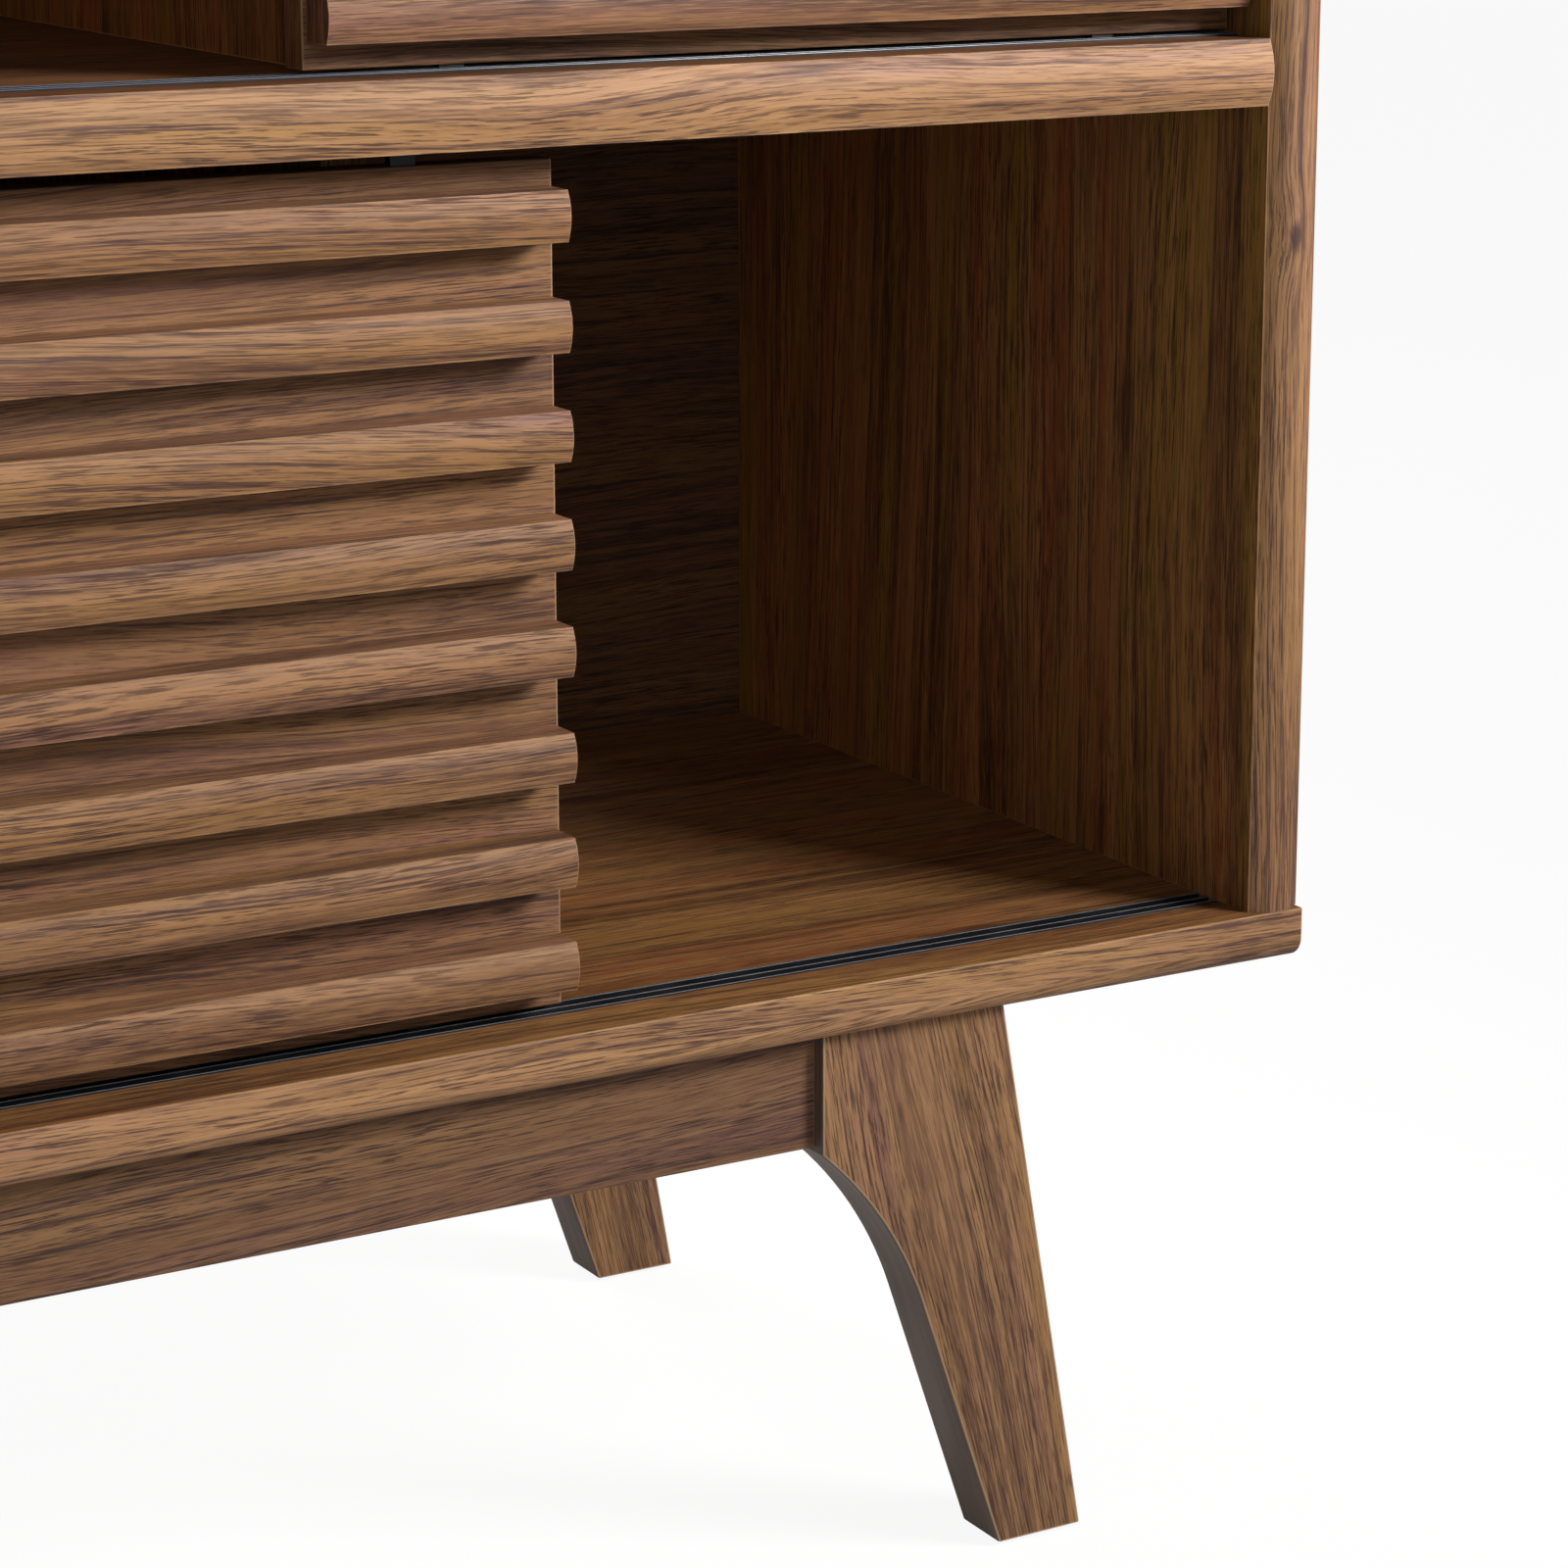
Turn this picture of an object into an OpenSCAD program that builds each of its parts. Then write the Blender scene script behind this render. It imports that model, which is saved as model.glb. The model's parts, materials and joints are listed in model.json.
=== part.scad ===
// Two-tier media cabinet: slatted sliding doors on plastic tracks, on a splayed leg frame.
// Millimetres, +Z up, front towards -Y, origin on the floor under the middle of the cabinet.

/* [Carcass] */
// Overall width
overall_w = 820; // [700:5:1000]
// Overall depth, from the nosed front edges to the back edges
overall_d = 445; // [370:5:535]
// Clear height inside each tier
tier_h = 336; // [280:1:420]
// Thickness of the side panels
side_t = 25; // [22:1:34]
// Thickness of the bottom and top panels
panel_t = 22; // [18:1:28]
// Thickness of the middle shelf
shelf_t = 27; // [24:1:34]
// Thickness of the dividers
divider_t = 18; // [16:1:25]
// Thickness of the back panels
back_t = 6; // [4:1:9]
// How far the nosed front edge of a side panel stands in front of its shoulders
side_nose = 5; // [2:0.5:8]
// How far the nosed front edge of the shelf stands in front of its shoulders
shelf_nose = 3.5; // [2:0.5:6]
// Radius on the lower front edge of the bottom panel and the upper front edge of the top panel
panel_round = 9; // [4:0.5:14]

/* [Back] */
// How far the back panels sit in from the back edges
back_recess = 7; // [3:1:12]
// Width of the rebate that the back panels sit in
rebate_w = 12; // [9:1:14]
// Depth of the rebate in the bottom and top panels
rebate_h = 10; // [8:1:12]
// Diameter of the cable hole behind each compartment
cable_hole_d = 60; // [40:5:80]
// Height of a cable hole's centre above the floor of its tier
cable_hole_z = 62; // [50:1:120]

/* [Doors] */
// How far a door reaches past the middle of the opening
door_overlap = 22.5; // [14:0.5:40]
// Thickness of a door panel
door_t = 15; // [14:0.5:20]
// Setback of a door panel's face from the front shoulders of the side panels
door_setback = 27; // [26:0.5:40]
// Gap below a door panel
door_gap_below = 2; // [1.5:0.5:4]
// Gap above a door panel
door_gap_above = 7; // [5:0.5:9]
// Gap left between a closed door and a side panel
door_side_gap = 1.5; // [1:0.5:4]
// Gap between the left side panel and the lower door where it stands
lower_door_gap = 53; // [1.5:0.5:250]
// Clearance between the back of a door and the dividers
divider_clear = 4; // [2:0.5:8]

/* [Slats] */
// Number of slats on a door
slat_count = 8; // [6:1:10]
// Height of a slat
slat_h = 19.5; // [14:0.5:26]
// Depth of a slat at its shoulders
slat_d = 17; // [12:0.5:20]
// How far the rounded front of a slat stands in front of its shoulders
slat_crown = 2.5; // [1:0.5:4]
// Distance from a slat's end to the door panel's end
slat_inset = 2; // [0:0.5:8]
// Margin above the top slat and below the bottom slat
slat_margin = 10; // [6:0.5:16]

/* [Tracks] */
// Setback of a track's front lip from the front shoulders of the side panels
track_setback = 20.5; // [18:0.5:30]
// Width of each groove
groove_w = 5.2; // [4.5:0.1:6]
// Thickness of the outer lips
track_lip = 1; // [0.8:0.1:1.5]
// Thickness of the rib between the two grooves
track_rib = 1.6; // [1:0.1:2.5]
// Depth that a track is let into its panel
track_depth = 6; // [5:0.5:7]
// How far a track stands proud of its panel
track_proud = 0.8; // [0.4:0.1:1.2]
// Thickness of a track's floor
track_floor = 1.2; // [1:0.1:1.8]

/* [Leg frame] */
// Height from the floor to the underside of the bottom panel
leg_h = 240; // [200:2:300]
// Thickness of a leg
leg_t = 28; // [22:1:34]
// Width of a leg at its top
leg_top_w = 86; // [80:0.5:120]
// Width of a leg at its foot
leg_foot_w = 41; // [30:0.5:60]
// How far the inner edge of the foot stands outside the inner edge of the top
leg_splay = 87; // [75:0.5:100]
// Length of the upright stretch at the top of a leg's inner edge
leg_upright = 51.5; // [50:0.5:60]
// Angle of the straight part of a leg's inner edge, from upright
leg_inner_angle = 18.8; // [17:0.1:20]
// Radius of the sweep between those two stretches
leg_sweep_r = 170; // [150:5:200]
// Distance between the upright inner edges of the left and right legs
leg_gap = 363.5; // [300:0.5:440]
// Setback of the front legs from the front shoulders of the side panels
front_leg_setback = 7; // [3:1:40]
// Distance from the back legs to the back edge of the cabinet
back_leg_inset = 48; // [20:1:90]
// Height of the aprons and stretchers
apron_h = 49.5; // [45:0.5:50]
// Thickness of the aprons and stretchers
apron_t = 18; // [15:1:24]
// How far an apron sits behind the face of its legs
apron_setback = 6; // [2:0.5:8]
// Thickness of the glides under the feet
foot_glide_t = 2; // [1.5:0.5:5]
// Diameter of the glides under the feet
foot_glide_d = 20; // [14:1:24]

/* [Hardware] */
// Diameter of a dowel
dowel_d = 8; // [6:1:8]
// Diameter of a cam lock
cam_d = 15; // [12:1:16]
// Distance from a joint to the centre of its cam lock
cam_reach = 24; // [18:1:34]
// Shank diameter of the screws up through the bottom panel
carcass_screw_d = 5; // [4:0.5:6]
// Radial room round a dowel, bolt or screw in its hole
fit_gap = 0.1; // [0.1:0.05:0.3]

/* [Hidden] */
$fn = 48;
eps = 1;
nose_land = 0.5;
front = -overall_d / 2;
back = overall_d / 2;
shoulder = front + side_nose;
inner_w = overall_w - 2 * side_t;
floor_z = leg_h + panel_t;
shelf_z = floor_z + tier_h;
upper_z = shelf_z + shelf_t;
ceiling_z = upper_z + tier_h;
overall_h = ceiling_z + panel_t;
tier_z = [floor_z, upper_z];
side_x = inner_w / 2 + side_t / 2;
back_face = back - back_recess - back_t;
back_gap = 1;

door_w = inner_w / 2 + door_overlap;
door_h = tier_h - door_gap_below - door_gap_above;
door_face = shoulder + door_setback;
door_closed_x = inner_w / 2 - door_side_gap - door_w;
door_x = [lower_door_gap - inner_w / 2, door_closed_x];
slat_pitch = (door_h - 2 * slat_margin - slat_h) / (slat_count - 1);

track_w = 2 * track_lip + 2 * groove_w + track_rib;
track_front = shoulder + track_setback;
track_gap = 0.1;
track_end_gap = 0.5;
rear_groove = track_front + track_lip + groove_w + track_rib + groove_w / 2;
groove_floor = track_depth - track_floor;

glide_w = groove_w - 0.8;
glide_l = 10;
glide_clear = 0.4;
glide_body_w = 5;
glide_body_h = 10;
glide_end = 60;

leg_x = leg_gap / 2;
front_leg_y = shoulder + front_leg_setback;
back_leg_y = back - back_leg_inset - leg_t;
apron_z = leg_h - apron_h;
front_apron_y = front_leg_y + apron_setback;
back_apron_y = back_leg_y + leg_t - apron_setback - apron_t;
stretcher_x = leg_x + leg_top_w / 2 - apron_t / 2;
stretcher_front = front_leg_y + leg_t;
frame_dowel_l = 30;
frame_dowel_in_leg = 12;
frame_dowel_drop = [11, 33];

foot_nail_d = 3;
foot_nail_l = 16;

bracket_leg = 22;
bracket_w = 16;
bracket_t = 2;
bracket_screw_d = 4;
bracket_screw_l = 16;
bracket_hole = 13;

carcass_screw_l = 50;
screw_inset = 60;
divider_screw_y = 95;
dowel_l = 30;
dowel_half = dowel_l / 2;
divider_dowel_half = 11;
dowel_y = 60;
cam_y = 100;
cam_bolt_d = 6;
cam_bolt_thread = 11;
cam_past = 5;

slat_screw_d = 4;
slat_screw_l = 27;
slat_screw_inset = 55;
back_screw_d = 3;
back_screw_l = 18;
back_screw_head_d = 7;
back_screw_head_h = 2;
back_screw_z = [40, tier_h / 2, tier_h - 30];
back_screw_x = [-inner_w / 3, -inner_w / 6, inner_w / 6, inner_w / 3];

SLATS = [for (i = [1:slat_count]) i];

walnut = "#9a7452";
walnut_dark = "#7a5a40";
black_plastic = "#1b1c1e";
steel = "#b9bbbd";
beech = "#d9b98c";

// ---- shared shapes ----

// Extrudes a section drawn as (y, z) along X, from x = 0
module along_x(length) {
    rotate([90, 0, 90]) linear_extrude(length) children();
}

// Extrudes an outline drawn as (x, z) along Y, from y = 0
module along_y(length) {
    translate([0, length, 0]) rotate([90, 0, 0]) linear_extrude(length) children();
}

// A bar of the given height, with its back at x = depth, its shoulders at x = 0 and a nosed front
// that leaves a narrow land along each shoulder
module nosed_section(height, depth, nose) {
    half = height / 2 - nose_land;
    r = (pow(half, 2) + pow(nose, 2)) / (2 * nose);
    square([depth, height]);
    intersection() {
        translate([r - nose, height / 2]) circle(r);
        translate([-nose, 0]) square([nose + eps, height]);
    }
}

// A rod along +Z with a gap all round when it is used as a hole
module rod(d, length, gap = 0) {
    translate([0, 0, -gap]) cylinder(h = length + 2 * gap, d = d + 2 * gap);
}

// Countersunk screw: the top of the head is at z = 0 and the tip points down
module screw(d, length) {
    head_d = 2 * d;
    head_h = d / 2;
    difference() {
        union() {
            translate([0, 0, -head_h]) cylinder(h = head_h, d1 = d, d2 = head_d);
            translate([0, 0, -length]) cylinder(h = length - head_h, d = d);
        }
        for (a = [0, 90]) rotate([0, 0, a]) cube([d, d / 5, d / 2], center = true);
    }
}

// The hole that a screw sits in
module screw_hole(d, length) {
    head_h = d / 2;
    translate([0, 0, -head_h]) cylinder(h = head_h, d1 = d, d2 = 2 * d);
    cylinder(h = eps, d = 2 * d);
    translate([0, 0, -length - fit_gap]) cylinder(h = length, d = d + 2 * fit_gap);
}

// Places children at each point of a list
module at(points) {
    for (p = points) translate(p) children();
}

module mirrored_x() {
    children();
    mirror([1, 0, 0]) children();
}

// ---- hardware places ----

carcass_screw_at = concat(
    [for (s = [-1, 1], y = [front + screw_inset, 0, back - screw_inset]) [s * side_x, y, leg_h]],
    [for (s = [-1, 1]) [0, s * divider_screw_y, leg_h]]
);
slat_screw_x = [slat_screw_inset, door_w / 2, door_w - slat_screw_inset];
divider_dowel_z = [shelf_z, upper_z, ceiling_z];

module carcass_screw_places() {
    at(carcass_screw_at) rotate([180, 0, 0]) children();
}

// Dowels between the shelf's ends and the side panels, drawn pointing outwards
module shelf_dowel_places() {
    mirrored_x()
        for (y = [-dowel_y, dowel_y])
            translate([inner_w / 2 - dowel_half, y, shelf_z + shelf_t / 2]) rotate([0, 90, 0]) children();
}

// Dowels between the side panels and the top panel
module top_dowel_places() {
    mirrored_x()
        for (y = [-dowel_y, dowel_y])
            translate([side_x, y, ceiling_z - dowel_half]) children();
}

module divider_dowel_places() {
    for (z = divider_dowel_z, y = [-dowel_y, dowel_y]) translate([0, y, z - divider_dowel_half]) children();
}

// Cam bolts from the side panels into the shelf: the thread end is at z = 0
module shelf_cam_places() {
    mirrored_x()
        for (y = [-cam_y, cam_y])
            translate([inner_w / 2 + cam_bolt_thread, y, shelf_z + shelf_t / 2]) rotate([0, -90, 0]) children();
}

// Cam bolts from the top panel down into the side panels: the thread end is at z = 0
module top_cam_places() {
    mirrored_x()
        for (y = [-cam_y, cam_y])
            translate([side_x, y, ceiling_z + cam_bolt_thread]) rotate([180, 0, 0]) children();
}

module all_dowels(gap = 0) {
    shelf_dowel_places() rod(dowel_d, dowel_l, gap);
    top_dowel_places() rod(dowel_d, dowel_l, gap);
    divider_dowel_places() rod(dowel_d, 2 * divider_dowel_half, gap);
}

module cam_bolt(gap = 0) {
    rod(cam_bolt_d, cam_bolt_thread + cam_reach, gap);
}

module all_cam_bolts(gap = 0) {
    shelf_cam_places() cam_bolt(gap);
    top_cam_places() cam_bolt(gap);
}

// Cam bodies: under the shelf, and in the inner faces of the side panels
module all_cam_bodies(gap = 0) {
    mirrored_x()
        for (y = [-cam_y, cam_y]) {
            translate([inner_w / 2 - cam_reach, y, shelf_z - gap])
                cylinder(h = shelf_t / 2 + cam_past + 2 * gap, d = cam_d + 2 * gap);
            translate([inner_w / 2 - gap, y, ceiling_z - cam_reach]) rotate([0, 90, 0])
                cylinder(h = side_t / 2 + cam_past + 2 * gap, d = cam_d + 2 * gap);
        }
}

// ---- carcass ----

// The room a track takes out of the panel below it
module track_slot(z, up, overrun = 0) {
    translate([-inner_w / 2 - overrun, track_front - track_gap, up ? z - track_depth : z - eps])
        cube([inner_w + 2 * overrun, track_w + 2 * track_gap, track_depth + eps]);
}

// Screw holes along the edges of a back panel
module back_screw_places(tier) {
    base = tier_z[tier];
    edge_z = tier == 0 ? floor_z - rebate_h / 2 : ceiling_z + rebate_h / 2;
    shelf_edge_z = tier == 0 ? shelf_z + shelf_t / 4 : shelf_z + shelf_t * 3 / 4;
    side_row_x = inner_w / 2 + rebate_w / 2;
    sides = [for (s = [-1, 1], z = back_screw_z) [s * side_row_x, back_face + back_t, base + z]];
    rows = [for (x = back_screw_x, z = [edge_z, shelf_edge_z]) [x, back_face + back_t, z]];
    middle = [for (z = back_screw_z) [0, back_face + back_t, base + z]];
    at(concat(sides, rows, middle)) rotate([-90, 0, 0]) children();
}

module back_screw() {
    difference() {
        cylinder(h = back_screw_head_h, d = back_screw_head_d);
        for (a = [0, 90])
            rotate([0, 0, a]) translate([0, 0, back_screw_head_h])
                cube([back_screw_head_d / 2, back_screw_d / 4, back_screw_head_h], center = true);
    }
    translate([0, 0, -back_screw_l]) cylinder(h = back_screw_l, d = back_screw_d);
}

module back_screw_hole() {
    translate([0, 0, -back_screw_l - fit_gap]) cylinder(h = back_screw_l + eps, d = back_screw_d + 2 * fit_gap);
}

// Section of the bottom panel as (y, z), with a rounded lower front edge
module panel_section() {
    difference() {
        translate([front, 0]) square([overall_d, panel_t]);
        difference() {
            translate([front - eps, -eps]) square([panel_round + eps, panel_round + eps]);
            translate([front + panel_round, panel_round]) circle(panel_round);
        }
    }
}

// The bottom panel's blank: z = 0 is its rounded side, and the rebate for a back panel is on the other
module panel_blank() {
    rebate_l = inner_w + 2 * rebate_w;
    difference() {
        translate([-overall_w / 2, 0, 0]) along_x(overall_w) panel_section();
        translate([-rebate_l / 2, back_face, panel_t - rebate_h]) cube([rebate_l, overall_d, rebate_h + eps]);
    }
}

module bottom_panel() {
    color(walnut) difference() {
        translate([0, 0, leg_h]) panel_blank();
        track_slot(floor_z, true);
        carcass_screw_places() screw_hole(carcass_screw_d, carcass_screw_l);
        back_screw_places(0) back_screw_hole();
        bracket_places() bracket_top_hole();
    }
}

module top_panel() {
    color(walnut) difference() {
        translate([0, 0, overall_h]) mirror([0, 0, 1]) panel_blank();
        track_slot(ceiling_z, false);
        all_dowels(fit_gap);
        all_cam_bolts(fit_gap);
        back_screw_places(1) back_screw_hole();
    }
}

module side_panel() {
    difference() {
        translate([inner_w / 2, shoulder, floor_z]) linear_extrude(ceiling_z - floor_z)
            mirror([1, -1]) nosed_section(side_t, back - shoulder, side_nose);
        translate([inner_w / 2 - eps, back_face, floor_z - eps])
            cube([rebate_w + eps, overall_d, ceiling_z - floor_z + 2 * eps]);
        all_dowels(fit_gap);
        all_cam_bolts(fit_gap);
        all_cam_bodies(fit_gap);
        carcass_screw_places() screw_hole(carcass_screw_d, carcass_screw_l);
        for (tier = [0, 1]) back_screw_places(tier) back_screw_hole();
    }
}

module left_side_panel() {
    color(walnut) mirror([1, 0, 0]) side_panel();
}

module right_side_panel() {
    color(walnut) side_panel();
}

module middle_shelf() {
    color(walnut) difference() {
        translate([-inner_w / 2, shoulder, shelf_z]) along_x(inner_w)
            nosed_section(shelf_t, back_face - shoulder, shelf_nose);
        track_slot(shelf_z, false, eps);
        track_slot(upper_z, true, eps);
        all_dowels(fit_gap);
        all_cam_bolts(fit_gap);
        all_cam_bodies(fit_gap);
        for (tier = [0, 1]) back_screw_places(tier) back_screw_hole();
    }
}

// The dividers stand behind the doors, so that a door can slide past them
module divider(tier) {
    divider_front = door_face + door_t + divider_clear;
    difference() {
        translate([-divider_t / 2, divider_front, tier_z[tier]])
            cube([divider_t, back_face - divider_front, tier_h]);
        all_dowels(fit_gap);
        carcass_screw_places() screw_hole(carcass_screw_d, carcass_screw_l);
        back_screw_places(tier) back_screw_hole();
    }
}

module lower_divider() {
    color(walnut_dark) divider(0);
}

module upper_divider() {
    color(walnut_dark) divider(1);
}

module back_panel(tier) {
    half_gap = back_gap / 2;
    middle = shelf_z + shelf_t / 2;
    low = tier == 0 ? floor_z - rebate_h + back_gap : middle + half_gap;
    high = tier == 0 ? middle - half_gap : ceiling_z + rebate_h - back_gap;
    w = inner_w + 2 * (rebate_w - back_gap);
    difference() {
        translate([-w / 2, back_face, low]) cube([w, back_t, high - low]);
        for (s = [-1, 1])
            translate([s * (inner_w + divider_t) / 4, back_face - eps, tier_z[tier] + cable_hole_z])
                rotate([-90, 0, 0]) cylinder(h = back_t + 2 * eps, d = cable_hole_d);
        back_screw_places(tier) back_screw_hole();
    }
}

module lower_back_panel() {
    color(walnut_dark) back_panel(0);
}

module upper_back_panel() {
    color(walnut_dark) back_panel(1);
}

// ---- tracks ----

// Twin-groove track section as (y, z): z = 0 is the face of the panel that it is let into
module track_section() {
    difference() {
        translate([0, -track_depth]) square([track_w, track_depth + track_proud]);
        for (y = [track_lip, track_lip + groove_w + track_rib])
            translate([y, -groove_floor]) square([groove_w, track_depth + eps]);
    }
}

module track(z, up) {
    length = inner_w - 2 * track_end_gap;
    color(black_plastic) translate([-length / 2, track_front, z])
        mirror([0, 0, up ? 0 : 1]) along_x(length) track_section();
}

module lower_bottom_track() {
    track(floor_z, true);
}

module lower_top_track() {
    track(shelf_z, false);
}

module upper_bottom_track() {
    track(upper_z, true);
}

module upper_top_track() {
    track(ceiling_z, false);
}

// ---- doors ----

// Puts children at the lower left front corner of a tier's door panel
module on_door(tier) {
    translate([door_x[tier], door_face, tier_z[tier] + door_gap_below]) children();
}

// A plastic shoe let into the door's edge, with a fin that runs in the rear groove; z = 0 is the edge
module glide(reach) {
    translate([-glide_l / 2, -glide_body_w / 2, 0]) cube([glide_l, glide_body_w, glide_body_h]);
    translate([-glide_l / 2, -glide_w / 2, -reach]) cube([glide_l, glide_w, reach + eps]);
}

module glide_mortise() {
    translate([-glide_l / 2 - fit_gap, -glide_body_w / 2 - fit_gap, -eps])
        cube([glide_l + 2 * fit_gap, glide_body_w + 2 * fit_gap, glide_body_h + fit_gap + eps]);
}

module glide_places() {
    for (x = [glide_end, door_w - glide_end]) translate([x, rear_groove - door_face, 0]) children();
}

module guide_places() {
    translate([0, 0, door_h]) glide_places() mirror([0, 0, 1]) children();
}

module slat_screw_places(i) {
    z = slat_margin + slat_h / 2 + (i - 1) * slat_pitch;
    for (x = slat_screw_x) translate([x, door_t, z]) rotate([-90, 0, 0]) children();
}

module door_panel(tier) {
    difference() {
        on_door(tier) cube([door_w, door_t, door_h]);
        on_door(tier) {
            glide_places() glide_mortise();
            guide_places() glide_mortise();
            for (i = SLATS) slat_screw_places(i) screw_hole(slat_screw_d, slat_screw_l);
        }
    }
}

module lower_door_panel() {
    color(walnut) door_panel(0);
}

module upper_door_panel() {
    color(walnut) door_panel(1);
}

// Slat number 1 is the lowest
module door_slat(tier, i) {
    z = slat_margin + (i - 1) * slat_pitch;
    color(walnut) on_door(tier) difference() {
        translate([slat_inset, -slat_d, z]) along_x(door_w - 2 * slat_inset)
            nosed_section(slat_h, slat_d, slat_crown);
        slat_screw_places(i) screw_hole(slat_screw_d, slat_screw_l);
    }
}

module door_slat_screws(tier) {
    color(steel) on_door(tier) for (i = SLATS) slat_screw_places(i) screw(slat_screw_d, slat_screw_l);
}

module door_bottom_glides(tier) {
    reach = door_gap_below + groove_floor - glide_clear;
    color(black_plastic) on_door(tier) glide_places() glide(reach);
}

module door_top_guides(tier) {
    reach = door_gap_above + groove_floor - glide_clear - door_gap_below;
    color(black_plastic) on_door(tier) guide_places() glide(reach);
}

// ---- leg frame ----

// Leg outline as (x, z): x = 0 is the upright inner edge and z = 0 is the top. The sweep is an arc that
// starts where the upright stretch ends and runs smoothly into the straight part.
module leg_outline() {
    foot_z = foot_glide_t - leg_h;
    normal = [cos(leg_inner_angle), sin(leg_inner_angle)];
    along = [sin(leg_inner_angle), -cos(leg_inner_angle)];
    start = [0, -leg_upright];
    foot = [leg_splay, foot_z];
    toward = (foot - start) * normal - leg_sweep_r;
    down = sqrt(pow(leg_sweep_r, 2) - pow(toward, 2));
    centre = start + toward * normal + down * along;
    tangent = centre + leg_sweep_r * normal;
    difference() {
        polygon([[0, 0], [leg_top_w, 0], [leg_splay + leg_foot_w, foot_z], foot, tangent, start]);
        translate(centre) circle(leg_sweep_r, $fn = 96);
    }
}

module leg(y) {
    difference() {
        translate([leg_x, y, leg_h]) along_y(leg_t) leg_outline();
        frame_dowel_rods(fit_gap);
        foot_glide_nails(fit_gap);
    }
}

module front_left_leg() {
    color(walnut_dark) mirror([1, 0, 0]) leg(front_leg_y);
}

module front_right_leg() {
    color(walnut_dark) leg(front_leg_y);
}

module back_left_leg() {
    color(walnut_dark) mirror([1, 0, 0]) leg(back_leg_y);
}

module back_right_leg() {
    color(walnut_dark) leg(back_leg_y);
}

module apron(y) {
    difference() {
        translate([-leg_x, y, apron_z]) cube([2 * leg_x, apron_t, apron_h]);
        frame_dowel_rods(fit_gap);
        bracket_places() bracket_side_hole();
    }
}

module front_apron() {
    color(walnut_dark) apron(front_apron_y);
}

module back_apron() {
    color(walnut_dark) apron(back_apron_y);
}

module stretcher() {
    difference() {
        translate([stretcher_x, stretcher_front, apron_z]) cube([apron_t, back_leg_y - stretcher_front, apron_h]);
        frame_dowel_rods(fit_gap);
        bracket_places() bracket_side_hole();
    }
}

module left_stretcher() {
    color(walnut_dark) mirror([1, 0, 0]) stretcher();
}

module right_stretcher() {
    color(walnut_dark) stretcher();
}

// Dowels of the apron and stretcher ends, on both sides of the frame
module frame_dowel_rods(gap = 0) {
    tail = frame_dowel_l - frame_dowel_in_leg;
    mirrored_x()
        for (drop = frame_dowel_drop) {
            for (y = [front_apron_y, back_apron_y])
                translate([leg_x - tail, y + apron_t / 2, leg_h - drop]) rotate([0, 90, 0])
                    rod(dowel_d, frame_dowel_l, gap);
            translate([stretcher_x + apron_t / 2, stretcher_front - frame_dowel_in_leg, leg_h - drop])
                rotate([-90, 0, 0]) rod(dowel_d, frame_dowel_l, gap);
            translate([stretcher_x + apron_t / 2, back_leg_y - tail, leg_h - drop])
                rotate([-90, 0, 0]) rod(dowel_d, frame_dowel_l, gap);
        }
}

module frame_dowels() {
    color(beech) frame_dowel_rods();
}

// Steel angles that hold the frame to the bottom panel, in a corner frame:
// x runs along the apron, +y into the apron's face, z = 0 is the panel's underside
module bracket_places() {
    for (s = [-1, 1]) {
        translate([s * leg_gap / 4, front_apron_y + apron_t, leg_h]) rotate([0, 0, 180]) children();
        translate([s * leg_gap / 4, back_apron_y, leg_h]) children();
    }
    mirrored_x()
        for (t = [1 / 4, 3 / 4])
            translate([stretcher_x, stretcher_front + t * (back_leg_y - stretcher_front), leg_h])
                rotate([0, 0, -90]) children();
}

module bracket() {
    difference() {
        union() {
            translate([-bracket_w / 2, -bracket_leg, -bracket_t]) cube([bracket_w, bracket_leg, bracket_t]);
            translate([-bracket_w / 2, -bracket_t, -bracket_leg]) cube([bracket_w, bracket_t, bracket_leg]);
        }
        bracket_top_hole();
        bracket_side_hole();
    }
}

module bracket_top_screw_place() {
    translate([0, -bracket_hole, -bracket_t]) rotate([180, 0, 0]) children();
}

module bracket_side_screw_place() {
    translate([0, -bracket_t, -bracket_hole]) rotate([90, 0, 0]) children();
}

module bracket_top_hole() {
    bracket_top_screw_place() screw_hole(bracket_screw_d, bracket_screw_l);
}

module bracket_side_hole() {
    bracket_side_screw_place() screw_hole(bracket_screw_d, bracket_screw_l);
}

module frame_brackets() {
    color(steel) bracket_places() bracket();
}

module bracket_screws() {
    color(steel) bracket_places() {
        bracket_top_screw_place() screw(bracket_screw_d, bracket_screw_l);
        bracket_side_screw_place() screw(bracket_screw_d, bracket_screw_l);
    }
}

// Nail-on glides under the feet
module foot_glide_places() {
    mirrored_x()
        for (y = [front_leg_y, back_leg_y])
            translate([leg_x + leg_splay + leg_foot_w / 2, y + leg_t / 2, 0]) children();
}

module foot_glide_nails(gap = 0) {
    foot_glide_places() translate([0, 0, foot_glide_t]) rod(foot_nail_d, foot_nail_l, gap);
}

module foot_glides() {
    color(black_plastic) foot_glide_places() {
        cylinder(h = foot_glide_t, d = foot_glide_d);
        cylinder(h = foot_glide_t + foot_nail_l, d = foot_nail_d);
    }
}

// ---- carcass hardware ----

module carcass_screws() {
    color(steel) carcass_screw_places() screw(carcass_screw_d, carcass_screw_l);
}

module carcass_dowels() {
    color(beech) all_dowels();
}

module cam_bolts() {
    color(steel) all_cam_bolts();
}

module cam_locks() {
    color(steel) difference() {
        all_cam_bodies();
        all_cam_bolts(fit_gap);
    }
}

module lower_back_screws() {
    color(steel) back_screw_places(0) back_screw();
}

module upper_back_screws() {
    color(steel) back_screw_places(1) back_screw();
}

// ---- nodes ----

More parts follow.
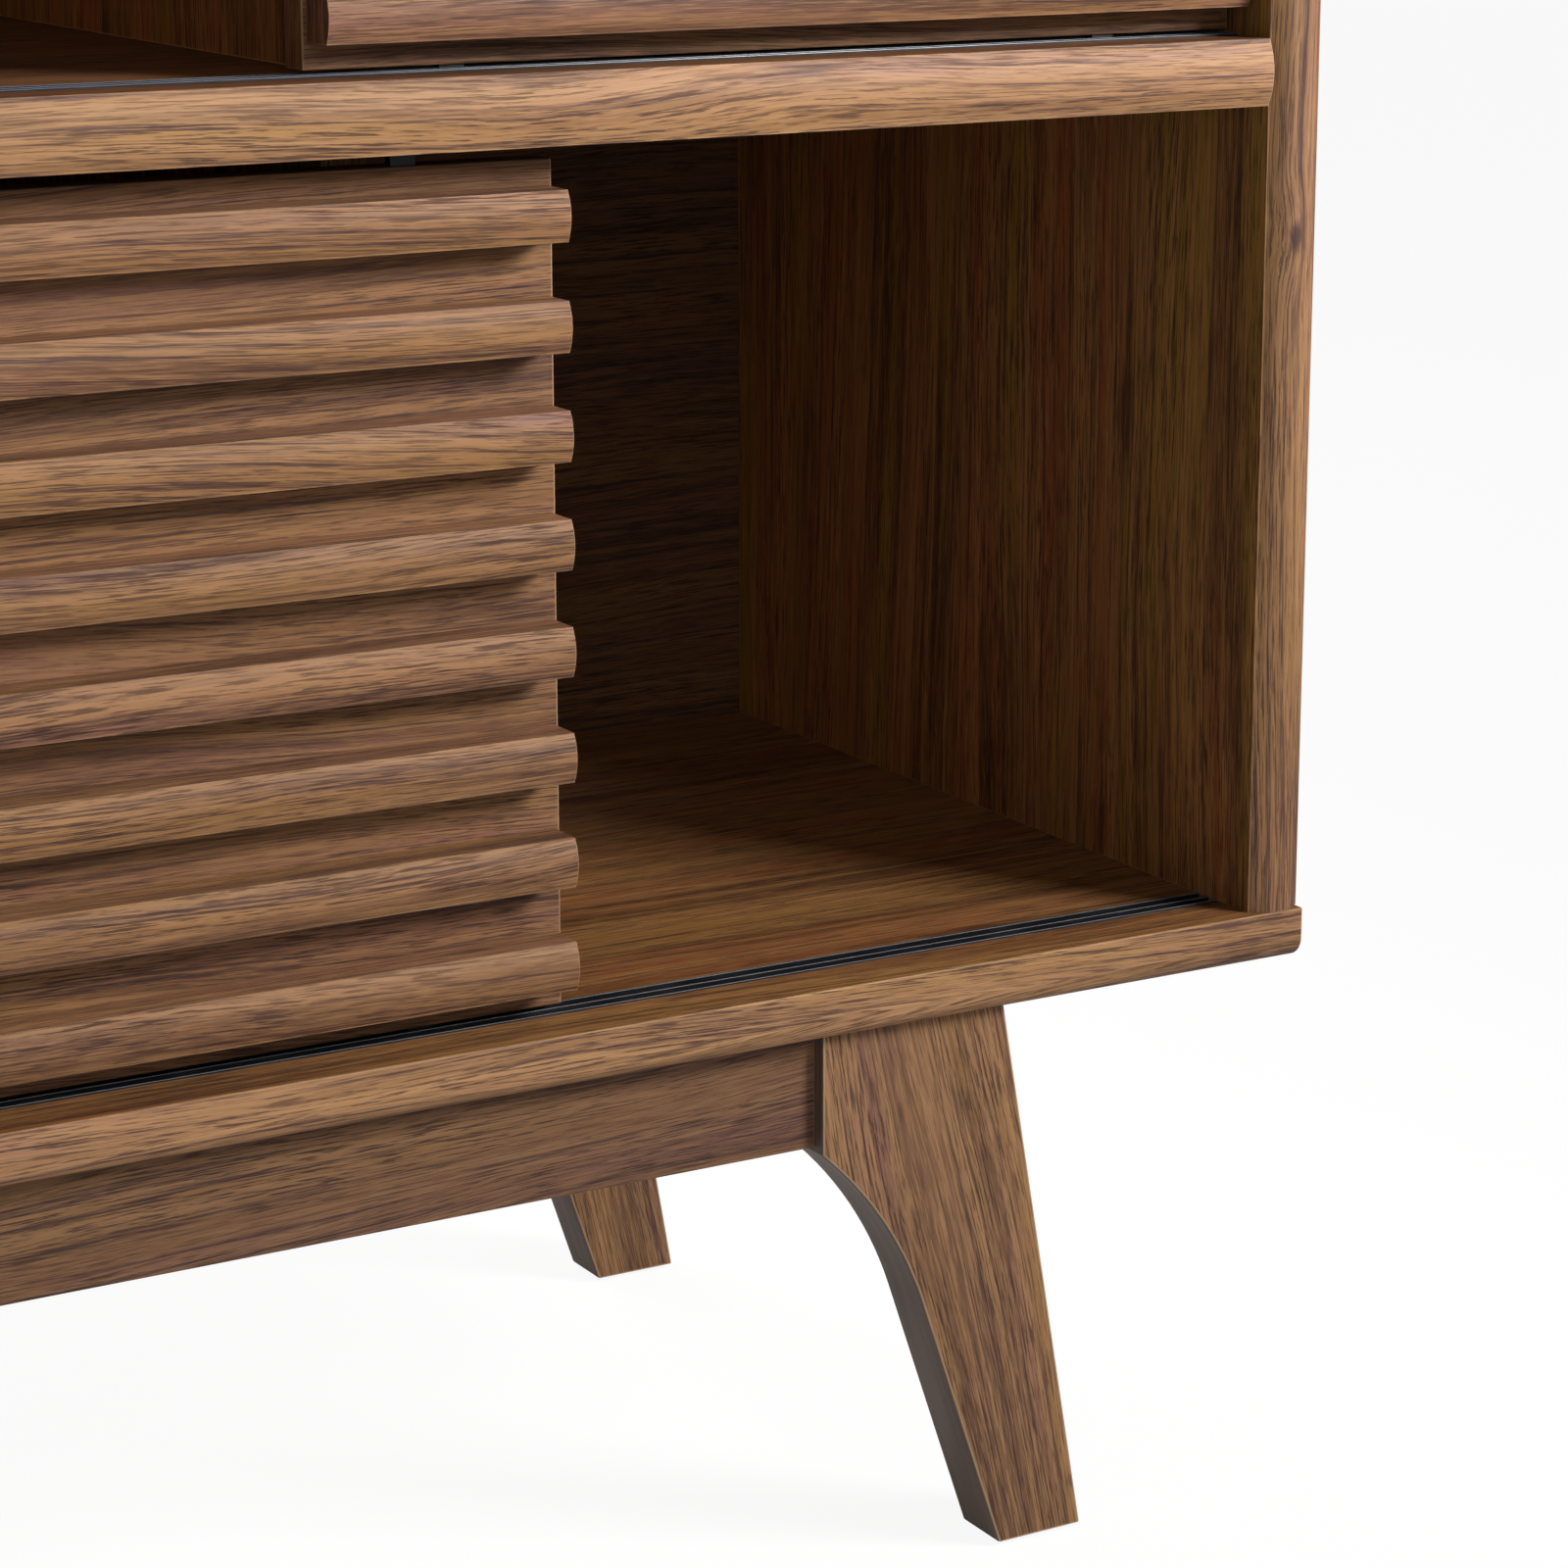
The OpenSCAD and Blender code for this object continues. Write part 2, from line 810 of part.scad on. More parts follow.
bottom_panel();
top_panel();
left_side_panel();
right_side_panel();
middle_shelf();
lower_divider();
upper_divider();
lower_back_panel();
upper_back_panel();
lower_bottom_track();
lower_top_track();
upper_bottom_track();
upper_top_track();
lower_door_panel();
upper_door_panel();
for (i = SLATS) {
    door_slat(0, i);
    door_slat(1, i);
}
door_slat_screws(0);  // lower_door_slat_screws
door_slat_screws(1);  // upper_door_slat_screws
door_bottom_glides(0);  // lower_door_bottom_glides
door_top_guides(0);  // lower_door_top_guides
door_bottom_glides(1);  // upper_door_bottom_glides
door_top_guides(1);  // upper_door_top_guides
front_left_leg();
front_right_leg();
back_left_leg();
back_right_leg();
front_apron();
back_apron();
left_stretcher();
right_stretcher();
frame_dowels();
frame_brackets();
bracket_screws();
foot_glides();
carcass_screws();
carcass_dowels();
cam_bolts();
cam_locks();
lower_back_screws();
upper_back_screws();
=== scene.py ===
"""Looks of a two-tier media cabinet: walnut laminate boards, slatted sliding doors and a splayed leg frame.

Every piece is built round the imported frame, in metres: +Z is up and the doors face -Y. The boards are
extruded outlines with eased edges, and carry a UV map in metres, so that the grain follows each board
round its nosed front. Places and sizes come from the frame's own nodes.
"""

import json
import logging
import math
from collections.abc import Iterable, Sequence
from dataclasses import dataclass
from enum import Enum
from typing import ClassVar, Union

import bmesh
import bpy
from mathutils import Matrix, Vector

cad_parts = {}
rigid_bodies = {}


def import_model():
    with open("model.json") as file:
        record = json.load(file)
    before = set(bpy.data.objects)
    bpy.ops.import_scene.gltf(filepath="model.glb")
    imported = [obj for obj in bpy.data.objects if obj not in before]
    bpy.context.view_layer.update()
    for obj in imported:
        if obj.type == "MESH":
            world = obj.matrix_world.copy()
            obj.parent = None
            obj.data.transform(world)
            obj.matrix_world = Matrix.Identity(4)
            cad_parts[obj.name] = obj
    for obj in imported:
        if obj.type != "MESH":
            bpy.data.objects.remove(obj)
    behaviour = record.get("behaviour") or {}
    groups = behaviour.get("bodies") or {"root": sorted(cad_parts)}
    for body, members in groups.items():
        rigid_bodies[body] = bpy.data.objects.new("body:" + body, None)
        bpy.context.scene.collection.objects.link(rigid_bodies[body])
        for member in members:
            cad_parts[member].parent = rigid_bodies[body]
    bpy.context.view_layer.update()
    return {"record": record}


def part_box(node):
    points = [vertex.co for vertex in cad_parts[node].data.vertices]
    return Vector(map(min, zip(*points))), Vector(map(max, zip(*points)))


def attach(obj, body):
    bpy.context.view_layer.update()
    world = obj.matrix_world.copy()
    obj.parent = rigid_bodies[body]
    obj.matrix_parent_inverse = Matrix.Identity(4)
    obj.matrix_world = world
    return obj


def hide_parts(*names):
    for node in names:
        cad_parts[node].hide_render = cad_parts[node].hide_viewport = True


LOG = logging.getLogger("media_cabinet")
MM = 0.001
BOARD_MAP = "board"
SEED = "seed"
# Eased edges carry this share of lightening: partly paler rubbed edges, partly painted highlight where an
# edge catches the light.
WEAR_AND_HIGHLIGHT = "wear_and_highlight"
SEED_STRIDE = 17.0  # how far apart in the pattern two boards lie, for each unit between their seeds
FACING = 0.9  # the cosine from which a face counts as looking in a direction
END_FACING = 0.72  # the same, for the end of a board
SHARP = math.radians(25)  # edges sharper than this are eased
CREASE = math.radians(22)  # eased faces stay smooth up to this
TURNED_CREASE = math.radians(32)
UP = Vector((0.0, 0.0, 1.0))

Colour = tuple[float, float, float]
Place = tuple[float, float, float]
Point = tuple[float, float]
Value = Union["Sock", float, int, tuple, bpy.types.ID]


# ---- node graphs ----


class Sock:
    """An output socket of a node. Arithmetic on it adds a Math node."""

    def __init__(self, graph: "Graph", socket: bpy.types.NodeSocket) -> None:
        """Keeps the graph, so that an expression knows where its nodes go."""
        self.graph = graph
        self.socket = socket

    def __add__(self, other: Value) -> "Sock":
        """self + other."""
        return self.graph.maths("ADD", self, other)

    def __radd__(self, other: Value) -> "Sock":
        """other + self."""
        return self.graph.maths("ADD", other, self)

    def __sub__(self, other: Value) -> "Sock":
        """self - other."""
        return self.graph.maths("SUBTRACT", self, other)

    def __rsub__(self, other: Value) -> "Sock":
        """other - self."""
        return self.graph.maths("SUBTRACT", other, self)

    def __mul__(self, other: Value) -> "Sock":
        """self * other."""
        return self.graph.maths("MULTIPLY", self, other)

    def __rmul__(self, other: Value) -> "Sock":
        """other * self."""
        return self.graph.maths("MULTIPLY", other, self)


class Graph:
    """A node tree that is written as Python expressions."""

    def __init__(self, tree: bpy.types.NodeTree) -> None:
        """Starts from an empty tree."""
        self.tree = tree
        tree.nodes.clear()

    def node(self, kind: str, values: dict[str | int, Value] | None = None, out: str | int = 0,
             stops: Sequence[tuple[float, Colour]] = (), **settings: object) -> Sock | None:
        """Adds one node.

        Args:
            kind: the node's type.
            values: what each input socket takes, by its name or its number: a link or a constant.
            out: the output socket to return, by its name or its number.
            stops: the stops of a colour ramp.
            settings: the node's own settings, set before its sockets.

        Returns:
            The output socket, or None for a node without one.
        """
        node = self.tree.nodes.new(kind)
        for key, setting in settings.items():
            setattr(node, key, setting)
        for i, (position, colour) in enumerate(stops):
            elements = node.color_ramp.elements
            element = elements[i] if i < len(elements) else elements.new(position)
            element.position = position
            element.color = (*colour, 1.0)
        for key, value in (values or {}).items():
            if isinstance(value, Sock):
                self.tree.links.new(value.socket, node.inputs[key])
            else:
                node.inputs[key].default_value = value
        return Sock(self, node.outputs[out]) if len(node.outputs) else None

    def maths(self, operation: str, a: Value, b: Value) -> Sock:
        """One Math node on two values."""
        return self.node("ShaderNodeMath", {0: a, 1: b}, operation=operation)

    def vector(self, x: Value, y: Value, z: Value) -> Sock:
        """Three values as a vector."""
        return self.node("ShaderNodeCombineXYZ", {0: x, 1: y, 2: z})

    def noise(self, x: Value, y: Value, z: Value, detail: float = 2.0, roughness: float = 0.5) -> Sock:
        """Smooth noise between 0 and 1 at a point of its own space, one unit to a lump."""
        values = {"Vector": self.vector(x, y, z), "Scale": 1.0, "Detail": detail, "Roughness": roughness}
        return self.node("ShaderNodeTexNoise", values, out="Fac")

    def step(self, value: Value, low: float, high: float) -> Sock:
        """A soft step: 0 below low, 1 above high."""
        values = {"Value": value, "From Min": low, "From Max": high}
        return self.node("ShaderNodeMapRange", values, interpolation_type="SMOOTHSTEP")

    def mix(self, factor: Value, a: Value, b: Value) -> Sock:
        """A colour between a and b."""
        rgba = {6: a, 7: b}
        values = {k: v if isinstance(v, Sock) else (*v, 1.0) for k, v in rgba.items()}
        return self.node("ShaderNodeMix", {0: factor, **values}, out=2, data_type="RGBA")

    def fact(self, name: str) -> Sock:
        """A number that the mesh carries in an attribute."""
        return self.node("ShaderNodeAttribute", out="Fac", attribute_name=name)

    def parts(self, vector: Sock) -> tuple[Sock, Sock, Sock]:
        """The three parts of a vector."""
        outputs = self.node("ShaderNodeSeparateXYZ", {0: vector}).socket.node.outputs
        return Sock(self, outputs[0]), Sock(self, outputs[1]), Sock(self, outputs[2])

    def place(self) -> tuple[Sock, Sock, Sock]:
        """The point's own Object coordinates, in metres."""
        return self.parts(self.node("ShaderNodeTexCoord", out="Object"))

    def board_map(self) -> tuple[Sock, Sock]:
        """The ways along the grain and across it, in metres."""
        u, v, _ = self.parts(self.node("ShaderNodeUVMap", uv_map=BOARD_MAP))
        return u, v

    def relief(self, strength: float, distance: float, height: Sock) -> Sock:
        """The normal of a surface that a height roughens."""
        values = {"Strength": strength, "Distance": distance, "Height": height}
        return self.node("ShaderNodeBump", values)


def shader(name: str) -> tuple[bpy.types.Material, Graph]:
    """An empty node material and its graph."""
    material = bpy.data.materials.new(name)
    material.use_nodes = True
    return material, Graph(material.node_tree)


def surface(graph: Graph, **sockets: Value) -> None:
    """Ends a material with a Principled shader.

    Args:
        graph: the material's graph.
        sockets: the shader's inputs, with underscores for spaces.
    """
    values = {key.replace("_", " "): value for key, value in sockets.items()}
    principled = graph.node("ShaderNodeBsdfPrincipled", values)
    graph.node("ShaderNodeOutputMaterial", {"Surface": principled})


# ---- finishes ----


@dataclass(frozen=True)
class Layer:
    """One layer of grain: noise that is drawn out along the board, in lumps to the metre."""

    along: float
    across: float
    shift: float
    detail: float = 2.0
    roughness: float = 0.5

    def noise(self, g: Graph, u: Sock, v: Sock, shift: Sock) -> Sock:
        """The layer's value at a point of the board map, on the board's own stretch of the pattern."""
        place = (u * self.along, v * self.across, shift + self.shift)
        return g.noise(*place, detail=self.detail, roughness=self.roughness)


@dataclass(frozen=True)
class Knots:
    """Scattered pin knots, and one larger knot at a chosen place of the board map."""

    pins: float = 0.5
    pin_cells: Point = (3.2, 11.0)
    pin_rim: Point = (0.045, 0.085)
    pin_reach: Point = (0.05, 0.34)
    pin_push: float = 0.006
    knot: float = 0.0
    at: Point = (0.545, 0.0142)
    scale: Point = (100.0, 210.0)
    rim: Point = (0.25, 0.9)
    reach: Point = (0.2, 3.2)
    push: float = 0.004
    ragged_scale: Point = (160.0, 420.0)
    ragged: float = 1.4

    def build(self, g: Graph, u: Sock, v: Sock, shift: Sock) -> tuple[Sock, Sock]:
        """Adds the knots to a laminate.

        Args:
            g: the material's graph.
            u: the way along the grain.
            v: the way across it.
            shift: the board's own stretch of the pattern.

        Returns:
            How much a point is knot, and how far the grain is pushed aside there.
        """
        cells = g.vector(u * self.pin_cells[0], v * self.pin_cells[1], shift)
        values = {"Vector": cells, "Scale": 1.0, "Randomness": 0.9}
        near = g.node("ShaderNodeTexVoronoi", values, out="Distance", voronoi_dimensions="3D")
        ripples = g.noise(u * self.ragged_scale[0], v * self.ragged_scale[1], 7.0, detail=3.0)
        along = (u - self.at[0]) * self.scale[0]
        across = (v - self.at[1]) * self.scale[1] + (ripples - 0.5) * self.ragged
        offset = g.vector(along, across, 0.0)
        away = g.node("ShaderNodeVectorMath", {0: offset}, out="Value", operation="LENGTH")
        pins = (1.0 - g.step(near, *self.pin_rim)) * self.pins
        knot = (1.0 - g.step(away, *self.rim)) * self.knot
        aside = (1.0 - g.step(near, *self.pin_reach)) * (self.pin_push * self.pins)
        aside = aside + (1.0 - g.step(away, *self.reach)) * (self.push * self.knot)
        return g.maths("MAXIMUM", pins, knot), aside


@dataclass(frozen=True)
class Laminate:
    """Satin walnut laminate: slow tone bands, long dark streaks, fine fibres and short dark pores."""

    LAYERS: ClassVar[dict[str, Layer]] = {
        "wander": Layer(1.1, 5.0, shift=2.0),
        "ripple": Layer(9.0, 40.0, shift=5.0),
        "bands": Layer(1.5, 26.0, shift=0.0, detail=3.0),
        "hues": Layer(2.2, 38.0, shift=13.0),
        "figure": Layer(3.5, 200.0, shift=9.0, detail=4.0, roughness=0.65),
        "lines": Layer(4.5, 440.0, shift=21.0, detail=4.0, roughness=0.65),
        "fibres": Layer(60.0, 1900.0, shift=31.0),
        "dashes": Layer(44.0, 1350.0, shift=41.0, detail=3.0, roughness=0.65),
        "density": Layer(5.0, 50.0, shift=51.0),
    }

    name: str
    shade: Colour = (1.0, 1.0, 1.0)
    pale: Colour = (0.60, 0.335, 0.155)
    body: Colour = (0.37, 0.190, 0.085)
    gold: Colour = (0.50, 0.275, 0.090)
    rose: Colour = (0.44, 0.215, 0.160)
    dark: Colour = (0.170, 0.080, 0.047)
    streak: Colour = (0.095, 0.043, 0.040)
    pore: Colour = (0.080, 0.036, 0.027)
    # The pale colour of eased edges: partly a rubbed edge, partly painted highlight.
    wear_and_highlight: Colour = (0.72, 0.49, 0.29)
    hue: float = 0.65
    figure: float = 0.75
    streaks: float = 0.85
    fibres: float = 0.5
    pores: float = 0.85
    wear_and_highlight_amount: float = 0.8
    wander: float = 90 * MM
    ripple: float = 2 * MM
    knots: Knots = Knots()
    gloss: float = 0.50
    sheen: float = 0.3

    def material(self) -> bpy.types.Material:
        """Builds the material on the board map, whose u runs along the grain, in metres."""
        material, g = shader(self.name)
        u, v = g.board_map()
        shift = g.fact(SEED) * SEED_STRIDE
        knot, aside = self.knots.build(g, u, v, shift)
        wander, ripple = (self.LAYERS[name].noise(g, u, v, shift) - 0.5 for name in ("wander", "ripple"))
        bent = v + wander * self.wander + ripple * self.ripple + aside
        names = ("bands", "hues", "figure", "lines", "fibres", "dashes", "density")
        grain = {name: self.LAYERS[name].noise(g, u, bent, shift) for name in names}
        pore = g.step(grain["dashes"], 0.49, 0.60) * (g.step(grain["density"], 0.25, 0.65) * 0.6 + 0.4)
        coats = (
            (g.step(grain["bands"], 0.40, 0.58), self.body),
            (g.step(grain["hues"], 0.50, 0.64) * self.hue, self.gold),
            ((1.0 - g.step(grain["hues"], 0.36, 0.50)) * self.hue, self.rose),
            (g.step(grain["figure"], 0.40, 0.66) * self.figure, self.pale),
            (g.step(grain["lines"], 0.52, 0.64) * self.streaks, self.streak),
            (g.step(grain["fibres"], 0.48, 0.66) * self.fibres, self.pale),
            (pore * self.pores, self.pore),
            (knot, self.streak),
            # Eased edges go pale: partly rubbed, partly painted highlight.
            (g.fact(WEAR_AND_HIGHLIGHT) * self.wear_and_highlight_amount, self.wear_and_highlight),
        )
        tone = self._tint(self.dark)
        for amount, colour in coats:
            tone = g.mix(amount, tone, self._tint(colour))
        relief = g.relief(0.4, 0.12 * MM, grain["fibres"] * 0.3 - pore)
        roughness = pore * 0.2 + grain["figure"] * 0.12 + self.gloss
        surface(g, Base_Color=tone, Roughness=roughness, Normal=relief, Specular_IOR_Level=self.sheen)
        return material

    def _tint(self, colour: Colour) -> Colour:
        """A colour in this board's shade."""
        return tuple(c * share for c, share in zip(colour, self.shade))


@dataclass(frozen=True)
class EdgeBand:
    """Plain grey-brown edge banding on the legs' narrow faces, faintly mottled along the grain."""

    name: str = "leg_edge_band"
    tone: Colour = (0.130, 0.088, 0.064)
    shade: Colour = (0.098, 0.062, 0.042)

    def material(self) -> bpy.types.Material:
        """Builds the material on the board map."""
        material, g = shader(self.name)
        u, v = g.board_map()
        mottle = g.noise(u * 9.0, v * 160.0, g.fact(SEED) * SEED_STRIDE, detail=3.0)
        fibres = g.noise(u * 60.0, v * 2400.0, 3.0)
        tone = g.mix(g.step(mottle, 0.35, 0.65), self.shade, self.tone)
        # Eased edges go toward the lighter tone: partly rubbed, partly painted highlight.
        tone = g.mix(g.fact(WEAR_AND_HIGHLIGHT) * 0.4, tone, self.tone)
        surface(g, Base_Color=tone, Roughness=fibres * 0.1 + 0.45, Normal=g.relief(0.2, 0.1 * MM, fibres))
        return material


@dataclass(frozen=True)
class Fitting:
    """The finish of a small fitting: two tones in soft clouds, a fine relief, and painted highlight on its
    eased edges if it has any.

    Clouds and relief are in lumps to the metre. The roughness is its least value and its extra in a cloud.
    """

    name: str
    tone: Colour
    other: Colour
    clouds: float
    cloud_rim: Point
    fine: Place
    roughness: Point
    detail: float = 3.0
    fine_detail: float = 2.0
    share: float = 1.0
    metallic: float = 0.0
    strength: float = 0.1
    depth: float = 0.1 * MM
    wear_and_highlight: Colour | None = None

    def material(self) -> bpy.types.Material:
        """Builds the material on Object coordinates."""
        material, g = shader(self.name)
        place = g.place()
        cloud = g.noise(*(c * self.clouds for c in place), detail=self.detail)
        fine = g.noise(*(c * scale for c, scale in zip(place, self.fine)), detail=self.fine_detail)
        tone = g.mix(g.step(cloud, *self.cloud_rim) * self.share, self.tone, self.other)
        # Eased edges are painted lighter: a painted highlight.
        if self.wear_and_highlight:
            tone = g.mix(g.fact(WEAR_AND_HIGHLIGHT), tone, self.wear_and_highlight)
        least, extra = self.roughness
        surface(g, Base_Color=tone, Metallic=self.metallic, Roughness=cloud * extra + least,
                Normal=g.relief(self.strength, self.depth, fine))
        return material


# The plastic's bluish grey on eased edges is painted highlight along the tracks' ribs and lips.
PLASTIC = Fitting("black_plastic", tone=(0.007, 0.007, 0.008), other=(0.022, 0.021, 0.022), clouds=60.0,
                  cloud_rim=(0.45, 0.75), fine=(4.0, 2500.0, 2500.0), roughness=(0.22, 0.25), share=0.5,
                  strength=0.15, wear_and_highlight=(0.17, 0.18, 0.22))
ZINC = Fitting("zinc_steel", tone=(0.62, 0.62, 0.60), other=(0.42, 0.42, 0.43), clouds=180.0,
               cloud_rim=(0.35, 0.7), fine=(1500.0, 1500.0, 1500.0), roughness=(0.2, 0.3), detail=4.0,
               metallic=1.0)
BEECH = Fitting("beech", tone=(0.64, 0.45, 0.27), other=(0.48, 0.31, 0.17), clouds=500.0,
                cloud_rim=(0.45, 0.65), fine=(500.0, 500.0, 500.0), roughness=(0.6, 0.1), fine_detail=3.0,
                strength=0.2, depth=0.2 * MM)


class Finishes:
    """Every material of the cabinet, built once.

    The boards are one laminate in several shades; the darker, more saturated ones inside the compartments
    are painted shade.
    """

    CARCASS: ClassVar[Colour] = (0.80, 0.77, 0.765)
    # Darker, more saturated colours for the faces inside the compartments: painted shade.
    INSIDE_SHADE_TONES: ClassVar[dict[str, Colour]] = {"rose": (0.42, 0.15, 0.07), "dark": (0.11, 0.045, 0.022)}
    INSIDE_SHADE_GOLD: ClassVar[Colour] = (0.40, 0.26, 0.06)
    FLOOR_GOLD: ClassVar[Colour] = (0.42, 0.24, 0.08)

    def __init__(self) -> None:
        """Builds the materials."""
        self.carcass = Laminate("walnut_carcass", shade=self.CARCASS).material()
        self.top = Laminate("walnut_top", shade=self.CARCASS, gloss=0.70, sheen=0.1).material()
        self.door = Laminate("walnut_door", shade=(0.64, 0.58, 0.54)).material()
        # The door panel is darker than the slats: painted shadow from the slats in the gaps between them.
        self.panel = Laminate("walnut_door_panel_painted_shade", shade=(0.56, 0.50, 0.45)).material()
        # The legs are darker partly as painted shade under the bottom panel.
        self.leg = Laminate("walnut_leg_partly_shaded", shade=(0.64, 0.61, 0.58)).material()
        # The aprons and stretchers are darker: painted shade under the bottom panel.
        self.rail = Laminate("walnut_rail_painted_shade", shade=(0.43, 0.395, 0.40)).material()
        self.side = Laminate("walnut_side", shade=(0.59, 0.55, 0.535), knots=Knots(knot=0.9)).material()
        # The faces inside the compartments, the floor and the shelf are darker and more saturated: painted
        # shade where little light reaches.
        self.inner = self._inside_shade("walnut_inner_painted_shade", (0.81, 0.71, 0.51), self.INSIDE_SHADE_GOLD, 1.0)
        self.floor = self._inside_shade("walnut_floor_painted_shade", (0.64, 0.54, 0.38), self.FLOOR_GOLD, 0.7)
        self.shelf = self._inside_shade("walnut_shelf_painted_shade", (0.45, 0.38, 0.29), self.FLOOR_GOLD, 0.7)
        # The back panels' inner faces are darkest: painted shade at the back of the compartments.
        self.back = Laminate("walnut_back_painted_shade", shade=(0.27, 0.22, 0.165), hue=0.9).material()
        self.band = EdgeBand().material()
        self.plastic = PLASTIC.material()
        self.zinc = ZINC.material()
        self.beech = BEECH.material()

    def _inside_shade(self, name: str, shade: Colour, gold: Colour, hue: float) -> bpy.types.Material:
        """The darker, more saturated laminate of a face inside a compartment: painted shade where little
        light reaches.
        """
        return Laminate(name, shade=shade, gold=gold, hue=hue, **self.INSIDE_SHADE_TONES).material()


# ---- meshes ----


class Run(Enum):
    """The direction that a board's outline is extruded in."""

    X = 0
    Y = 1
    Z = 2

    def place(self, a: float, b: float, t: float) -> Vector:
        """The point at (a, b) on the outline and t along the board."""
        point = [a, b]
        point.insert(self.value, t)
        return Vector(point)

    def read(self, point: Vector) -> tuple[float, float, float]:
        """The (a, b, t) of a point."""
        rest = [c for i, c in enumerate(point) if i != self.value]
        return rest[0], rest[1], point[self.value]


def arc(centre: Point, radius: float, first: float, last: float, steps: int) -> list[Point]:
    """Points round an arc.

    Args:
        centre: its centre.
        radius: its radius.
        first: the angle it starts at, in degrees.
        last: the angle it ends at.
        steps: how many chords it has.

    Returns:
        The points, ends included.
    """
    angles = [math.radians(first + (last - first) * i / steps) for i in range(steps + 1)]
    return [(centre[0] + radius * math.cos(a), centre[1] + radius * math.sin(a)) for a in angles]


def nose(shoulder: float, low: float, high: float, proud: float, land: float,
         steps: int = 14) -> list[Point]:
    """The rounded front of a board, as (depth, height) points from its top to its bottom.

    Args:
        shoulder: the depth of its two shoulders.
        low: its lowest edge.
        high: its highest edge.
        proud: how far the middle stands in front of the shoulders.
        land: the flat left along each shoulder.
        steps: how many chords the arc has.

    Returns:
        The points.
    """
    half = (high - low) / 2 - land
    radius = (half * half + proud * proud) / (2 * proud)
    reach = math.degrees(math.asin(half / radius))
    centre = (shoulder - proud + radius, (low + high) / 2)
    points = arc(centre, radius, 180 - reach, 180 + reach, steps)
    return [(shoulder, high), *points, (shoulder, low)]


def linked(name: str, data: bpy.types.ID) -> bpy.types.Object:
    """A new object in the scene."""
    item = bpy.data.objects.new(name, data)
    bpy.context.scene.collection.objects.link(item)
    return item


def solid(name: str, bm: bmesh.types.BMesh) -> bpy.types.Object:
    """A new object in the scene, made from a bmesh, which is freed."""
    mesh = bpy.data.meshes.new(name)
    bm.to_mesh(mesh)
    bm.free()
    return linked(name, mesh)


def settle(item: bpy.types.Object) -> bpy.types.Object:
    """Turns an object's modifiers into a plain mesh, and removes them."""
    bpy.context.view_layer.update()
    graph = bpy.context.evaluated_depsgraph_get()
    shown = item.evaluated_get(graph)
    mesh = bpy.data.meshes.new_from_object(shown, preserve_all_data_layers=True, depsgraph=graph)
    item.modifiers.clear()
    item.data = mesh
    return item


